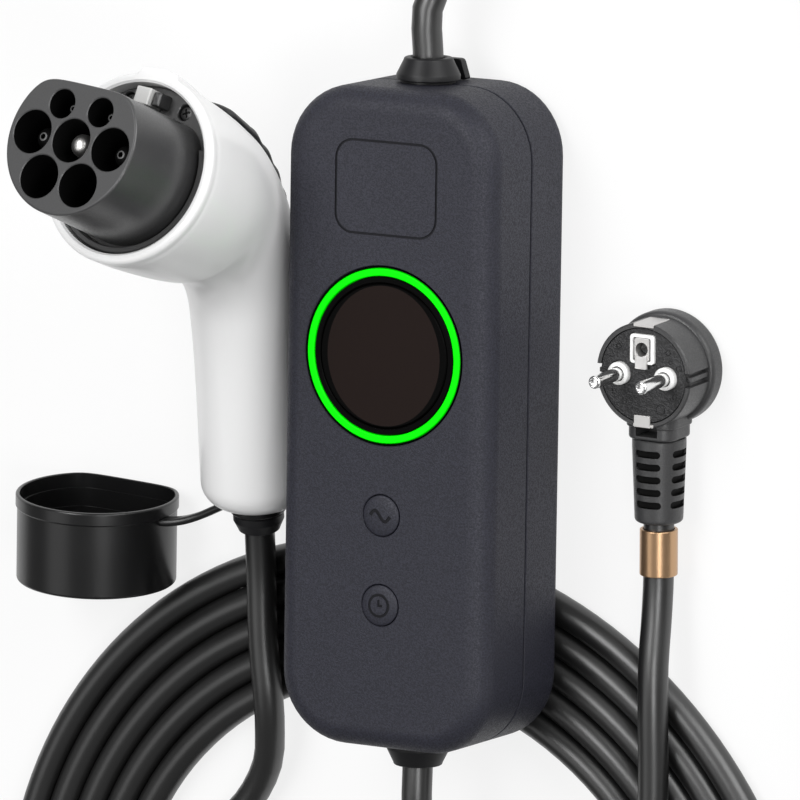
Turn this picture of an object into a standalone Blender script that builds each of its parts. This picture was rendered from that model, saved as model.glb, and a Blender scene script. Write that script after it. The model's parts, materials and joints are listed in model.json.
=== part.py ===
"""A portable charger for electric cars, laid out flat on a surface.

A control box lies on the edge of its coiled lead. The vehicle connector lies
beside it with its rubber cap on a tether, and the angled mains plug lies on
its back with its pins up. All lengths are in metres, +Z is up, and the surface
is the plane z = 0.
"""

import math

import bmesh
import bpy
from mathutils import Euler, Vector

# Fits shared by all the pieces
GAP = 0.0003

# Leads and the coil
LEAD_RADIUS = 0.0055
COIL_TURNS = 5
COIL_INNER = 0.119
COIL_CENTRE = (0.008, -0.224)
COIL_FLATTENING = 0.038
BEND_SPACING = 0.024
BAND_LENGTH = 0.017
BAND_WALL = 0.0011
BAND_PLACE = 0.62
LEAD_SEAT = 0.004
LEAD_FIT = 0.0008

# Control box
CASE_WIDTH = 0.087
CASE_HEIGHT = 0.240
CASE_DEPTH = 0.055
CASE_CORNER = 0.026
CASE_FRONT_ROUND = 0.0085
CASE_REAR_ROUND = 0.005
CASE_WALL = 0.003
CASE_SEAM = 0.026
SEAL_HEIGHT = 0.0008
SEAL_INSET = 0.0006
SEAL_WIDTH = 0.0022
CASE_PLACE = (0.0296, 0.0036)
CASE_YAW = math.radians(1.2)

# Display
DISPLAY_HEIGHT_ON_CASE = 0.024
DISPLAY_SIDE_MARGIN = 0.0033
RING_WIDTH = 0.0034
BEZEL_LIP = 0.0006
BEZEL_ANNULUS = 0.0025
BEZEL_FLANGE_REACH = 0.0029
BEZEL_FLANGE_THICKNESS = 0.002
WINDOW_THICKNESS = 0.002
WINDOW_LEDGE = 0.0032
DISPLAY_SIZE = (0.046, 0.038)

# Keys
KEY_RADIUS = 0.0074
KEY_RISE = 0.0012
KEY_TRAVEL = 0.0008
KEY_FLANGE = 0.0089
KEY_FLANGE_THICKNESS = 0.0013
KEY_STEM_RADIUS = 0.003
KEY_STEM_LENGTH = 0.0028
CURRENT_KEY_PLACE = -0.0340
TIMER_KEY_PLACE = -0.0667
SWITCH_SIZE = 0.006
SWITCH_HEIGHT = 0.0016

# Badge field above the display, left bare inside its groove
BADGE_SIZE = (0.0425, 0.0345)
BADGE_CORNER = 0.0075
BADGE_PLACE = 0.0845
GROOVE_WIDTH = 0.0009
GROOVE_DEPTH = 0.0005

# Boards and what they carry
BOARD_THICKNESS = 0.0016
CONTROL_BOARD_WIDTH = 0.054
CONTROL_BOARD_ENDS = (-0.088, 0.070)
CONTROL_POST_INSET = 0.0055
POST_RADIUS = 0.003
MAIN_BOARD_SIZE = (0.062, 0.150)
MAIN_BOARD_CORNER = 0.002
MAIN_POST_INSET = 0.007
MAIN_POST_HEIGHT = 0.0055
RELAY_SIZE = (0.028, 0.030, 0.020)
RELAY_ACROSS = -0.012
RELAY_CLEARANCE = 0.010
SUPPLY_SIZE = (0.030, 0.034, 0.022)
SUPPLY_ACROSS = -0.010
SUPPLY_CLEARANCE = 0.012
SENSOR_OUTER = 0.013
SENSOR_INNER = 0.0065
SENSOR_HEIGHT = 0.010
SENSOR_PLACE = (0.017, 0.010)
TERMINAL_SIZE = (0.030, 0.012, 0.014)
TERMINAL_INSET = 0.010
TERMINAL_WAYS = 4
TERMINAL_FUNNEL = 0.0018

# Case screws
SCREW_INSET = (0.0115, 0.015)
SCREW_RADIUS = 0.0015
SCREW_HEAD_RADIUS = 0.0029
SCREW_HEAD_HEIGHT = 0.0022
SCREW_SINK = 0.0008
SCREW_BITE = 0.014
BOSS_RADIUS = 0.0045

# Cable glands of the control box
GLAND_BASE = 0.0116
GLAND_TIP = 0.0090
GLAND_HEIGHT = 0.0092
GLAND_SKIRT = 0.0030
GLAND_NECK = 0.0093
GLAND_INNER_FLANGE = 0.0112
GLAND_INNER_DEPTH = 0.0060
LUG_WIDTHS = (0.018, 0.013)
LUG_HEIGHT = 0.0075
LUG_THICKNESS = 0.0034
LUG_EYE = 0.0017
LUG_DEPTH_PLACE = 0.0125

# Vehicle connector
GUN_PLACE = (-0.0473, 0.1002, 0.1090)
GUN_TURN = (math.radians(-24.0), math.radians(-6.2), math.radians(-4.0))
GUN_BEND = math.radians(124.5)
GUN_HEAD_DEPTH = 0.0740
GUN_HANDLE_LENGTH = 0.1013
GUN_BEND_RADIUS = 0.060
GUN_END_ROUND = 0.0095
GUN_RIM_ROUND = 0.0020
GUN_SIDES = 32
GUN_RINGS = 24
# Share of the middle line from the rim, half width and half depth of the section there
GUN_SECTIONS = (
    (0.00, 0.0355, 0.0355),
    (0.07, 0.0350, 0.0350),
    (0.19, 0.0330, 0.0330),
    (0.26, 0.0304, 0.0310),
    (0.34, 0.0262, 0.0276),
    (0.43, 0.0228, 0.0244),
    (0.55, 0.0206, 0.0218),
    (0.72, 0.0198, 0.0205),
    (1.00, 0.0205, 0.0205),
)

# Contact housing in the vehicle connector
RECESS_RADIUS = 0.0318
FLANGE_SET_BACK = 0.004
FLANGE_THICKNESS = 0.008
RETAINER_THICKNESS = 0.003
RETAINER_RADIUS = 0.028
NOSE_RADIUS = 0.0275
NOSE_FLAT = 0.0208
NOSE_LENGTH = 0.043
NOSE_EDGE = 0.0009
COLLAR_WIDTH = 0.0022
COLLAR_HEIGHT = 0.0045
COLLAR_OPENING = 0.012
POWER_CHAMBER = 0.0080
SIGNAL_CHAMBER = 0.0054
CHAMBER_DEPTH = 0.034
POWER_ROW = 0.0175
LOWER_PAIR = (0.0087, -0.0151)
UPPER_PAIR = (0.0086, 0.0121)
POWER_CONTACT = 0.0040
EARTH_CONTACT = 0.0042
SIGNAL_CONTACT = 0.0026
CONTACT_SET_BACK = 0.007
EARTH_SET_BACK = 0.004
CATCH_SIZE = (0.0100, 0.0066, 0.0085)
CATCH_PLACE = 0.0262
FLANGE_SCREW_PLACE = (0.0125, 0.0246)
FLANGE_SCREW_HEAD = 0.0026
FLANGE_SCREW_SINK = 0.0010
FLANGE_SCREW_HEAD_HEIGHT = 0.0030
FLANGE_SCREW_SHANK = 0.0011

# Thumb pad on the back of the connector
PAD_RANGE = (0.19, 0.52)
PAD_HALF_ANGLE = math.radians(27)
PAD_THICKNESS = 0.0022

# Tail of the connector
TAIL_SHANK = 0.0074
TAIL_SHANK_DEPTH = 0.009
TAIL_FLANGE = 0.0094
TAIL_TIP = 0.0078
TAIL_LENGTH = 0.0072

# Rubber cap with its strap and ring
CAP_WALL = 0.0017
CAP_CLEARANCE = 0.0004
CAP_LENGTH = 0.033
CAP_FLOOR = 0.0025
CAP_BEAD = 0.0006
CAP_BEAD_LENGTH = 0.005
CAP_LIP_STEP = 0.0004
CAP_LIP_DEPTHS = (0.0055, 0.0125)
CAP_PLACE = (-0.1155, -0.0435)
CAP_YAW = math.radians(-2.0)
RING_THICKNESS = 0.0030
RING_WALL = 0.0028
STRAP_THICKNESS = 0.0022
STRAP_WIDTH = 0.0064
STRAP_ROUTE = (
    (-0.0568, -0.0402, 0.0204),
    (-0.0605, -0.0416, 0.0204),
    (-0.0660, -0.0444, 0.0206),
    (-0.0720, -0.0474, 0.0213),
    (-0.0780, -0.0496, 0.0227),
    (-0.0833, -0.0506, 0.0240),
    (-0.0867, -0.0508, 0.0244),
)

# Mains plug
PLUG_PLACE = (0.1145, 0.0263)
PLUG_DEPTH = 0.023
PLUG_RADIUS = 0.0192
PLUG_BASE_RADIUS = 0.0208
PLUG_BASE_DEPTH = 0.0090
PLUG_BASE_ROUND = 0.0022
PLUG_GUIDE_WIDTH = 0.0052
PLUG_GUIDE_DEPTH = 0.0022
PLUG_RIB_WIDTH = 0.0018
PLUG_NECK_LENGTH = 0.0245
PLUG_NECK_RADIUS = 0.0100
PLUG_FACE_RADIUS = 0.0172
PLUG_FACE_THICKNESS = 0.003
PIN_RADIUS = 0.0024
PIN_LENGTH = 0.019
PIN_SPACING = 0.019
PIN_ROOT = 0.006
PIN_COLLAR_RADIUS = 0.0042
PIN_COLLAR_HEIGHT = 0.0022
EARTH_FRAME_SIZE = (0.0098, 0.0108)
EARTH_FRAME_RISE = 0.0012
EARTH_FRAME_PLACE = 0.0098
EARTH_SOCKET_RADIUS = 0.0026
EARTH_SOCKET_DEPTH = 0.010
EARTH_SLEEVE_WALL = 0.0010
EARTH_SLEEVE_DEPTH = 0.008
CLIP_WIDTH = 0.0082
CLIP_THICKNESS = 0.0012
CLIP_LENGTH = 0.0120
BOOT_LENGTH = 0.031
BOOT_RADII = (0.0098, 0.0088)
BOOT_ROWS = 5
BOOT_ROW_WIDTH = 0.0026
BOOT_SLOT_DEPTH = 0.0021
BOOT_SLOT_SPAN = 0.0100
BOOT_PLAIN_END = 0.0075
BOOT_AXIS_HEIGHT = 0.0108

# The leads' routes, in the layout, each point chosen by hand
GUN_LEAD_ROUTE = (
    (-0.0488, -0.0690, 0.0172),
    (-0.0485, -0.0840, 0.0172),
    (-0.0476, -0.0990, 0.0172),
    (-0.0462, -0.1130, 0.0170),
    (-0.0470, -0.1260, 0.0145),
    (-0.0510, -0.1410, 0.0095),
    (-0.0600, -0.1560, 0.0062),
    (-0.0725, -0.1700, 0.0058),
    (-0.0850, -0.1850, 0.0058),
    (-0.0955, -0.2010, 0.0058),
    (-0.1022, -0.2170, 0.0058),
    (-0.1036, -0.2320, 0.0058),
)
BOX_LEAD_ROUTE = (
    (0.1880, -0.2300, 0.0058),
    (0.1886, -0.2000, 0.0058),
    (0.1888, -0.1500, 0.0058),
    (0.1888, -0.0900, 0.0058),
    (0.1888, -0.0300, 0.0058),
    (0.1888, 0.0300, 0.0058),
    (0.1888, 0.0850, 0.0058),
    (0.1882, 0.1250, 0.0058),
    (0.1845, 0.1560, 0.0058),
    (0.1715, 0.1795, 0.0058),
    (0.1510, 0.1930, 0.0058),
    (0.1260, 0.1985, 0.0058),
    (0.1000, 0.1980, 0.0058),
    (0.0740, 0.1935, 0.0062),
    (0.0530, 0.1845, 0.0092),
    (0.0375, 0.1705, 0.0158),
)
PLUG_LEAD_ROUTE = (
    (0.1148, -0.0660, 0.0128),
    (0.1154, -0.0820, 0.0160),
    (0.1160, -0.1000, 0.0172),
    (0.1163, -0.1200, 0.0172),
    (0.1160, -0.1420, 0.0172),
    (0.1148, -0.1640, 0.0172),
    (0.1110, -0.1840, 0.0155),
    (0.1030, -0.2030, 0.0115),
    (0.0900, -0.2170, 0.0074),
    (0.0740, -0.2230, 0.0060),
    (0.0580, -0.2200, 0.0066),
    (0.0440, -0.2090, 0.0110),
    (0.0345, -0.1930, 0.0220),
    (0.0312, -0.1750, 0.0345),
)

# Where the layout's own zero lies from the middle of the box that holds it
LAYOUT_SHIFT = (0.03554, -0.00594)

# Sides of turned pieces
FINE_SIDES = 40
MEDIUM_SIDES = 24
SMALL_SIDES = 16
POCKET_SIDES = 20
COIL_SIDES = 60

COIL_OUTER = COIL_INNER + COIL_TURNS * 2 * LEAD_RADIUS
COIL_HEIGHT = 2 * LEAD_RADIUS


# Shared modelling tools


def clear_scene():
    """Remove whatever objects the file holds."""
    for item in list(bpy.data.objects):
        bpy.data.objects.remove(item, do_unlink=True)


def new_collection(name):
    """Add a collection to the scene."""
    made = bpy.data.collections.new(name)
    bpy.context.scene.collection.children.link(made)
    return made


def finish(name, color, roughness, metallic=0.0):
    """Make a Principled material."""
    made = bpy.data.materials.new(name)
    made.use_nodes = True
    shader = made.node_tree.nodes["Principled BSDF"]
    shader.inputs["Base Color"].default_value = (*color, 1.0)
    shader.inputs["Roughness"].default_value = roughness
    shader.inputs["Metallic"].default_value = metallic
    return made


def new_frame(name, place, turn=(0.0, 0.0, 0.0), parent=None):
    """Add an empty that carries one sub-assembly."""
    made = bpy.data.objects.new(name, None)
    PARTS.objects.link(made)
    made.parent = parent
    made.location = place
    made.rotation_euler = turn
    return made


def place(name, mesh, frame, material=None, at=(0.0, 0.0, 0.0), turn=(0.0, 0.0, 0.0)):
    """Put a mesh in the scene, as a piece if it has a material, else as a cutter."""
    made = bpy.data.objects.new(name, mesh)
    made.parent = frame
    made.location = at
    made.rotation_euler = turn
    if material:
        PARTS.objects.link(made)
        mesh.materials.append(material)
    else:
        CUTTERS.objects.link(made)
        made.hide_render = True
        made.display_type = "WIRE"
    return made


def boolean(target, tool, operation="DIFFERENCE"):
    """Cut, join or intersect a piece with another."""
    made = target.modifiers.new(tool.name, "BOOLEAN")
    made.operation = operation
    made.object = tool
    made.solver = "EXACT"


def shade_round(mesh, angle=35.0):
    """Shade a round piece smooth, with its true edges kept sharp."""
    mesh.shade_smooth()
    mesh.set_sharp_from_angle(angle=math.radians(angle))


def to_mesh(name, build):
    """Turn a bmesh into a mesh with its faces pointing out."""
    bmesh.ops.recalc_face_normals(build, faces=build.faces)
    mesh = bpy.data.meshes.new(name)
    build.to_mesh(mesh)
    build.free()
    return mesh


def rounded_rectangle(width, height, corner, steps=6):
    """Points of a rectangle with round corners, about its centre."""
    points = []
    for turn, (sx, sy) in enumerate(((1, 1), (-1, 1), (-1, -1), (1, -1))):
        middle = (sx * (width / 2 - corner), sy * (height / 2 - corner))
        for step in range(steps + 1):
            angle = (turn + step / steps) * math.pi / 2
            points.append((middle[0] + corner * math.cos(angle), middle[1] + corner * math.sin(angle)))
    return points


def d_outline(radius, flat, steps=30):
    """Points of a circle with a flat across its +Y side."""
    start = math.pi - math.asin(flat / radius)
    end = 2 * math.pi + math.asin(flat / radius)
    return [
        (radius * math.cos(start + (end - start) * step / steps),
         radius * math.sin(start + (end - start) * step / steps))
        for step in range(steps + 1)
    ]


def prism(name, outline, bottom, top, top_round=0.0, bottom_round=0.0, steps=5):
    """A solid on a closed outline, with its rims rounded where asked."""
    build = bmesh.new()
    base = build.faces.new([build.verts.new((x, y, bottom)) for x, y in outline])
    raised = bmesh.ops.extrude_face_region(build, geom=[base], use_keep_orig=True)
    lifted = [item for item in raised["geom"] if isinstance(item, bmesh.types.BMVert)]
    bmesh.ops.translate(build, verts=lifted, vec=(0, 0, top - bottom))
    for level, size in ((top, top_round), (bottom, bottom_round)):
        if size <= 0.0:
            continue
        rim = [
            edge for edge in build.edges
            if all(abs(vert.co.z - level) < 1e-7 for vert in edge.verts)
        ]
        bmesh.ops.bevel(build, geom=rim, offset=size, segments=steps, profile=0.5,
                        affect="EDGES", clamp_overlap=False, material=-1)
    return to_mesh(name, build)


def drum(name, radius, bottom, top, sides=POCKET_SIDES, top_radius=None):
    """A cylinder or a cone on the Z axis."""
    build = bmesh.new()
    bmesh.ops.create_cone(build, cap_ends=True, segments=sides, radius1=radius,
                          radius2=radius if top_radius is None else top_radius,
                          depth=top - bottom)
    bmesh.ops.translate(build, verts=build.verts, vec=(0, 0, (top + bottom) / 2))
    return to_mesh(name, build)


def block(name, size, middle=(0.0, 0.0, 0.0), edge=0.0):
    """A box about a point, with its edges broken where asked."""
    build = bmesh.new()
    bmesh.ops.create_cube(build, size=1.0)
    bmesh.ops.scale(build, verts=build.verts, vec=size)
    bmesh.ops.translate(build, verts=build.verts, vec=middle)
    if edge > 0.0:
        bmesh.ops.bevel(build, geom=build.edges[:], offset=edge, segments=2, profile=0.5,
                        affect="EDGES", clamp_overlap=True, material=-1)
    return to_mesh(name, build)


def gathered(name, meshes):
    """One mesh that holds several separate shapes."""
    build = bmesh.new()
    for mesh in meshes:
        build.from_mesh(mesh)
        bpy.data.meshes.remove(mesh)
    return to_mesh(name, build)


def shifted(mesh, at):
    """Move a mesh within its own frame."""
    for vert in mesh.vertices:
        vert.co += Vector(at)
    return mesh


def turned(name, profile, frame, material=None, sides=FINE_SIDES, closed=False,
           at=(0.0, 0.0, 0.0), turn=(0.0, 0.0, 0.0)):
    """A turned piece: a profile of (radius, height) points carried round the Z axis.

    The profile runs down the outer side. A closed one makes a ring.
    """
    mesh = bpy.data.meshes.new(name)
    edges = [(index, index + 1) for index in range(len(profile) - 1)]
    if closed:
        edges.append((len(profile) - 1, 0))
    mesh.from_pydata([(radius, 0.0, height) for radius, height in profile], edges, [])
    made = place(name, mesh, frame, material, at, turn)
    screw = made.modifiers.new("turn", "SCREW")
    screw.axis = "Z"
    screw.angle = 2 * math.pi
    screw.steps = sides
    screw.render_steps = sides
    screw.use_merge_vertices = True
    screw.merge_threshold = 0.00001
    screw.use_smooth_shade = True
    return made


def smooth_route(points, spacing):
    """Points at an even spacing on a smooth curve through a route's own points."""
    stops = [Vector(point) for point in points]
    ends = [2 * stops[0] - stops[1]] + stops + [2 * stops[-1] - stops[-2]]
    dense = []
    for index in range(1, len(ends) - 2):
        before, start, end, after = ends[index - 1:index + 3]
        for step in range(24):
            t = step / 24
            dense.append(0.5 * (2 * start + (end - before) * t
                                + (2 * before - 5 * start + 4 * end - after) * t ** 2
                                + (3 * start - before - 3 * end + after) * t ** 3))
    dense.append(stops[-1])
    lengths = [0.0]
    for first, second in zip(dense, dense[1:]):
        lengths.append(lengths[-1] + (second - first).length)
    count = max(2, round(lengths[-1] / spacing))
    even = []
    cursor = 0
    for step in range(count + 1):
        wanted = lengths[-1] * step / count
        while cursor < len(lengths) - 2 and lengths[cursor + 1] < wanted:
            cursor += 1
        span = lengths[cursor + 1] - lengths[cursor]
        even.append(dense[cursor].lerp(dense[cursor + 1], (wanted - lengths[cursor]) / span))
    return even


def tube(name, points, radius, frame, material, resolution=3):
    """A lead: a round tube with filled caps along a list of points."""
    curve = bpy.data.curves.new(name, "CURVE")
    curve.dimensions = "3D"
    curve.bevel_depth = radius
    curve.bevel_resolution = resolution
    curve.use_fill_caps = True
    spline = curve.splines.new("POLY")
    spline.points.add(len(points) - 1)
    for slot, point in zip(spline.points, points):
        slot.co = (*point, 1.0)
    made = bpy.data.objects.new(name, curve)
    PARTS.objects.link(made)
    made.parent = frame
    curve.materials.append(material)
    return made


def curve_as_mesh(item, name, frame):
    """Replace a curve object by a closed mesh that Booleans can use."""
    bpy.context.view_layer.update()
    evaluated = item.evaluated_get(bpy.context.evaluated_depsgraph_get())
    mesh = bpy.data.meshes.new_from_object(evaluated)
    build = bmesh.new()
    build.from_mesh(mesh)
    bpy.data.meshes.remove(mesh)
    bmesh.ops.remove_doubles(build, verts=build.verts, dist=0.000001)
    made = place(name, to_mesh(name, build), frame)
    bpy.data.objects.remove(item, do_unlink=True)
    return made


clear_scene()
PARTS = new_collection("portable_ev_charger")
CUTTERS = new_collection("cutters")

# Finishes
SLATE = finish("slate_grained_plastic", (0.075, 0.077, 0.094), 0.62)
BLACK_RUBBER = finish("black_rubber", (0.016, 0.016, 0.018), 0.55)
BLACK_GLOSS = finish("black_gloss_plastic", (0.010, 0.009, 0.009), 0.12)
WINDOW_BROWN = finish("smoked_window", (0.018, 0.010, 0.009), 0.10)
RING_GREEN = finish("green_light_guide", (0.0, 0.85, 0.01), 0.35)
WHITE_SHELL = finish("white_gloss_plastic", (0.86, 0.86, 0.87), 0.20)
GREY_HOUSING = finish("grey_contact_housing", (0.085, 0.085, 0.085), 0.45)
CONTACT_METAL = finish("silvered_contact", (0.72, 0.70, 0.66), 0.25, 1.0)
PIN_METAL = finish("nickel_pin", (0.82, 0.82, 0.82), 0.15, 1.0)
EARTH_METAL = finish("satin_earth_metal", (0.62, 0.62, 0.60), 0.35, 1.0)
COLLAR_WHITE = finish("white_insulator", (0.84, 0.84, 0.82), 0.45)
PLUG_BLACK = finish("charcoal_plug_plastic", (0.030, 0.030, 0.032), 0.55)
LEAD_BLACK = finish("black_lead_jacket", (0.012, 0.012, 0.012), 0.28)
BRONZE = finish("bronze_band", (0.40, 0.22, 0.09), 0.30, 0.9)
BOARD_GREEN = finish("circuit_board", (0.020, 0.120, 0.045), 0.50)
PART_BLUE = finish("relay_case", (0.030, 0.080, 0.260), 0.40)
PART_YELLOW = finish("transformer_tape", (0.60, 0.42, 0.05), 0.50)
PART_GREY = finish("terminal_housing", (0.30, 0.32, 0.33), 0.50)
SCREW_STEEL = finish("screw_steel", (0.42, 0.42, 0.43), 0.35, 1.0)

# Sub-assembly frames
COIL_REACH = CASE_PLACE[1] + CASE_HEIGHT / 2 - CASE_REAR_ROUND - (
    COIL_CENTRE[1] + COIL_OUTER - LEAD_RADIUS)
CASE_TILT = math.asin((COIL_HEIGHT + GAP) / COIL_REACH)
CASE_LIFT = (CASE_REAR_ROUND * (1 - math.cos(CASE_TILT))
             + (CASE_HEIGHT / 2 - CASE_REAR_ROUND) * math.sin(CASE_TILT))
CAP_OUTER = NOSE_RADIUS + CAP_CLEARANCE + CAP_WALL
CAP_FLAT = NOSE_FLAT + CAP_CLEARANCE + CAP_WALL
CAP_TILT = math.asin(CAP_BEAD / (CAP_LENGTH - CAP_BEAD_LENGTH))
CAP_LIFT = (CAP_FLAT + CAP_BEAD) * math.cos(CAP_TILT) + GAP

layout = new_frame("layout_frame", (*LAYOUT_SHIFT, 0.0))
case_frame = new_frame("case_frame", (*CASE_PLACE, CASE_LIFT), (-CASE_TILT, 0.0, CASE_YAW), layout)
gun_frame = new_frame("gun_frame", GUN_PLACE, GUN_TURN, layout)
cap_frame = new_frame("cap_frame", (*CAP_PLACE, CAP_LIFT),
                      (-math.pi / 2 + CAP_TILT, 0.0, CAP_YAW), layout)
plug_frame = new_frame("plug_frame", (*PLUG_PLACE, 0.0), (0.0, 0.0, 0.0), layout)


# Control box

FRONT_FLOOR = CASE_SEAM + SEAL_HEIGHT / 2 + GAP
REAR_TOP = CASE_SEAM - SEAL_HEIGHT / 2 - GAP
FRONT_INNER = CASE_DEPTH - CASE_WALL
RING_OUTER = CASE_WIDTH / 2 - CASE_FRONT_ROUND - DISPLAY_SIDE_MARGIN
SCREW_PLACES = [
    (sx * (CASE_WIDTH / 2 - SCREW_INSET[0]), sy * (CASE_HEIGHT / 2 - SCREW_INSET[1]))
    for sx in (-1, 1) for sy in (-1, 1)
]
CONTROL_BOARD_TOP = (FRONT_INNER - GAP - KEY_FLANGE_THICKNESS - KEY_STEM_LENGTH
                     - KEY_TRAVEL - GAP - SWITCH_HEIGHT - GAP)
CONTROL_POSTS = [
    (sx * (CONTROL_BOARD_WIDTH / 2 - CONTROL_POST_INSET), end - sy * CONTROL_POST_INSET)
    for sx in (-1, 1) for sy, end in zip((-1, 1), CONTROL_BOARD_ENDS)
]
MAIN_BOARD_BOTTOM = CASE_WALL + MAIN_POST_HEIGHT + GAP
MAIN_BOARD_TOP = MAIN_BOARD_BOTTOM + BOARD_THICKNESS
MAIN_POSTS = [
    (sx * (MAIN_BOARD_SIZE[0] / 2 - MAIN_POST_INSET),
     sy * (MAIN_BOARD_SIZE[1] / 2 - MAIN_POST_INSET))
    for sx in (-1, 1) for sy in (-1, 1)
]
KEY_PLACES = {"current_key": CURRENT_KEY_PLACE, "timer_key": TIMER_KEY_PLACE}


def case_outline(inset=0.0):
    """The control box's outline, drawn in by a wall or a margin."""
    return rounded_rectangle(CASE_WIDTH - 2 * inset, CASE_HEIGHT - 2 * inset, CASE_CORNER - inset)


def gland_hole(name):
    """The round way for the glands' necks through both end walls, at the seam."""
    return place(name, drum(name, GLAND_NECK + GAP, -CASE_HEIGHT, CASE_HEIGHT, MEDIUM_SIDES),
                 case_frame, at=(0, 0, CASE_SEAM), turn=(math.pi / 2, 0, 0))


def front_shell():
    """The front shell: a deep cover with soft edges, bosses and its openings."""
    shell = place("front_shell",
                  prism("front_shell", case_outline(), FRONT_FLOOR, CASE_DEPTH,
                        top_round=CASE_FRONT_ROUND, steps=4),
                  case_frame, SLATE)
    cavity = place("front_cavity",
                   prism("front_cavity", case_outline(CASE_WALL), FRONT_FLOOR - CASE_WALL,
                         FRONT_INNER, top_round=CASE_FRONT_ROUND - CASE_WALL, steps=2),
                   case_frame)
    posts = [
        shifted(drum("post", BOSS_RADIUS, FRONT_FLOOR, CASE_DEPTH, SMALL_SIDES), (x, y, 0))
        for x, y in SCREW_PLACES
    ] + [
        shifted(drum("post", POST_RADIUS, CONTROL_BOARD_TOP + GAP, CASE_DEPTH, SMALL_SIDES),
                (x, y, 0))
        for x, y in CONTROL_POSTS
    ]
    boolean(cavity, place("front_posts", gathered("front_posts", posts), case_frame))
    boolean(shell, cavity)
    holes = [
        shifted(drum("hole", RING_OUTER + BEZEL_LIP + GAP, FRONT_INNER - CASE_WALL,
                     CASE_DEPTH + CASE_WALL, FINE_SIDES), (0, DISPLAY_HEIGHT_ON_CASE, 0))
    ] + [
        shifted(drum("hole", KEY_RADIUS + GAP, FRONT_INNER - CASE_WALL, CASE_DEPTH + CASE_WALL,
                     MEDIUM_SIDES), (0, height, 0))
        for height in KEY_PLACES.values()
    ] + [
        shifted(drum("hole", SCREW_RADIUS + GAP, FRONT_FLOOR - CASE_WALL,
                     FRONT_FLOOR + SCREW_BITE + 2 * GAP, SMALL_SIDES), (x, y, 0))
        for x, y in SCREW_PLACES
    ]
    boolean(shell, place("front_holes", gathered("front_holes", holes), case_frame))
    boolean(shell, gland_hole("front_gland_way"))
    boolean(shell, badge_groove())
    shade_round(shell.data)


def badge_groove():
    """The fine groove round the bare badge field."""
    width, height = BADGE_SIZE
    groove = place("badge_groove",
                   shifted(prism("badge_groove", rounded_rectangle(width, height, BADGE_CORNER),
                                 CASE_DEPTH - GROOVE_DEPTH, CASE_DEPTH + GROOVE_DEPTH),
                           (0, BADGE_PLACE, 0)),
                   case_frame)
    field = place("badge_field",
                  shifted(prism("badge_field",
                                rounded_rectangle(width - 2 * GROOVE_WIDTH,
                                                  height - 2 * GROOVE_WIDTH,
                                                  BADGE_CORNER - GROOVE_WIDTH),
                                CASE_DEPTH - 2 * GROOVE_DEPTH, CASE_DEPTH + 2 * GROOVE_DEPTH),
                          (0, BADGE_PLACE, 0)),
                  case_frame)
    boolean(groove, field)
    return groove


def rear_shell():
    """The rear shell: a tray with screw bosses and posts for the main board."""
    shell = place("rear_shell",
                  prism("rear_shell", case_outline(), 0.0, REAR_TOP,
                        bottom_round=CASE_REAR_ROUND, steps=3),
                  case_frame, SLATE)
    cavity = place("rear_cavity",
                   prism("rear_cavity", case_outline(CASE_WALL), CASE_WALL, REAR_TOP + CASE_WALL,
                         bottom_round=CASE_REAR_ROUND - CASE_WALL, steps=2),
                   case_frame)
    posts = [
        shifted(drum("post", BOSS_RADIUS, 0.0, REAR_TOP, SMALL_SIDES), (x, y, 0))
        for x, y in SCREW_PLACES
    ] + [
        shifted(drum("post", POST_RADIUS, 0.0, MAIN_BOARD_BOTTOM - GAP, SMALL_SIDES), (x, y, 0))
        for x, y in MAIN_POSTS
    ]
    boolean(cavity, place("rear_posts", gathered("rear_posts", posts), case_frame))
    boolean(shell, cavity)
    head_floor = SCREW_SINK + SCREW_HEAD_HEIGHT + GAP
    sinks = [
        shifted(drum("sink", SCREW_HEAD_RADIUS + GAP, -CASE_WALL, head_floor, SMALL_SIDES),
                (x, y, 0))
        for x, y in SCREW_PLACES
    ]
    ways = [
        shifted(drum("way", SCREW_RADIUS + GAP, head_floor - GAP, CASE_DEPTH, SMALL_SIDES),
                (x, y, 0))
        for x, y in SCREW_PLACES
    ]
    boolean(shell, place("screw_sinks", gathered("screw_sinks", sinks), case_frame))
    boolean(shell, place("screw_ways", gathered("screw_ways", ways), case_frame))
    boolean(shell, gland_hole("rear_gland_way"))
    shade_round(shell.data)


def case_seals():
    """The two halves of the seal in the seam, which end at the glands."""
    bottom = CASE_SEAM - SEAL_HEIGHT / 2
    top = CASE_SEAM + SEAL_HEIGHT / 2
    for side, sign in (("left", -1), ("right", 1)):
        name = f"case_seal_{side}"
        seal = place(name, prism(name, case_outline(SEAL_INSET), bottom, top),
                     case_frame, BLACK_RUBBER)
        inside = place(f"{name}_inside",
                       prism(f"{name}_inside", case_outline(SEAL_INSET + SEAL_WIDTH),
                             bottom - SEAL_HEIGHT, top + SEAL_HEIGHT),
                       case_frame)
        half = place(f"{name}_half",
                     block(f"{name}_half", (CASE_WIDTH, 2 * CASE_HEIGHT, CASE_DEPTH),
                           (-sign * CASE_WIDTH / 2, 0, CASE_SEAM)),
                     case_frame)
        boolean(seal, inside)
        boolean(seal, half)
        boolean(seal, gland_hole(f"{name}_gland_way"))


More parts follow.
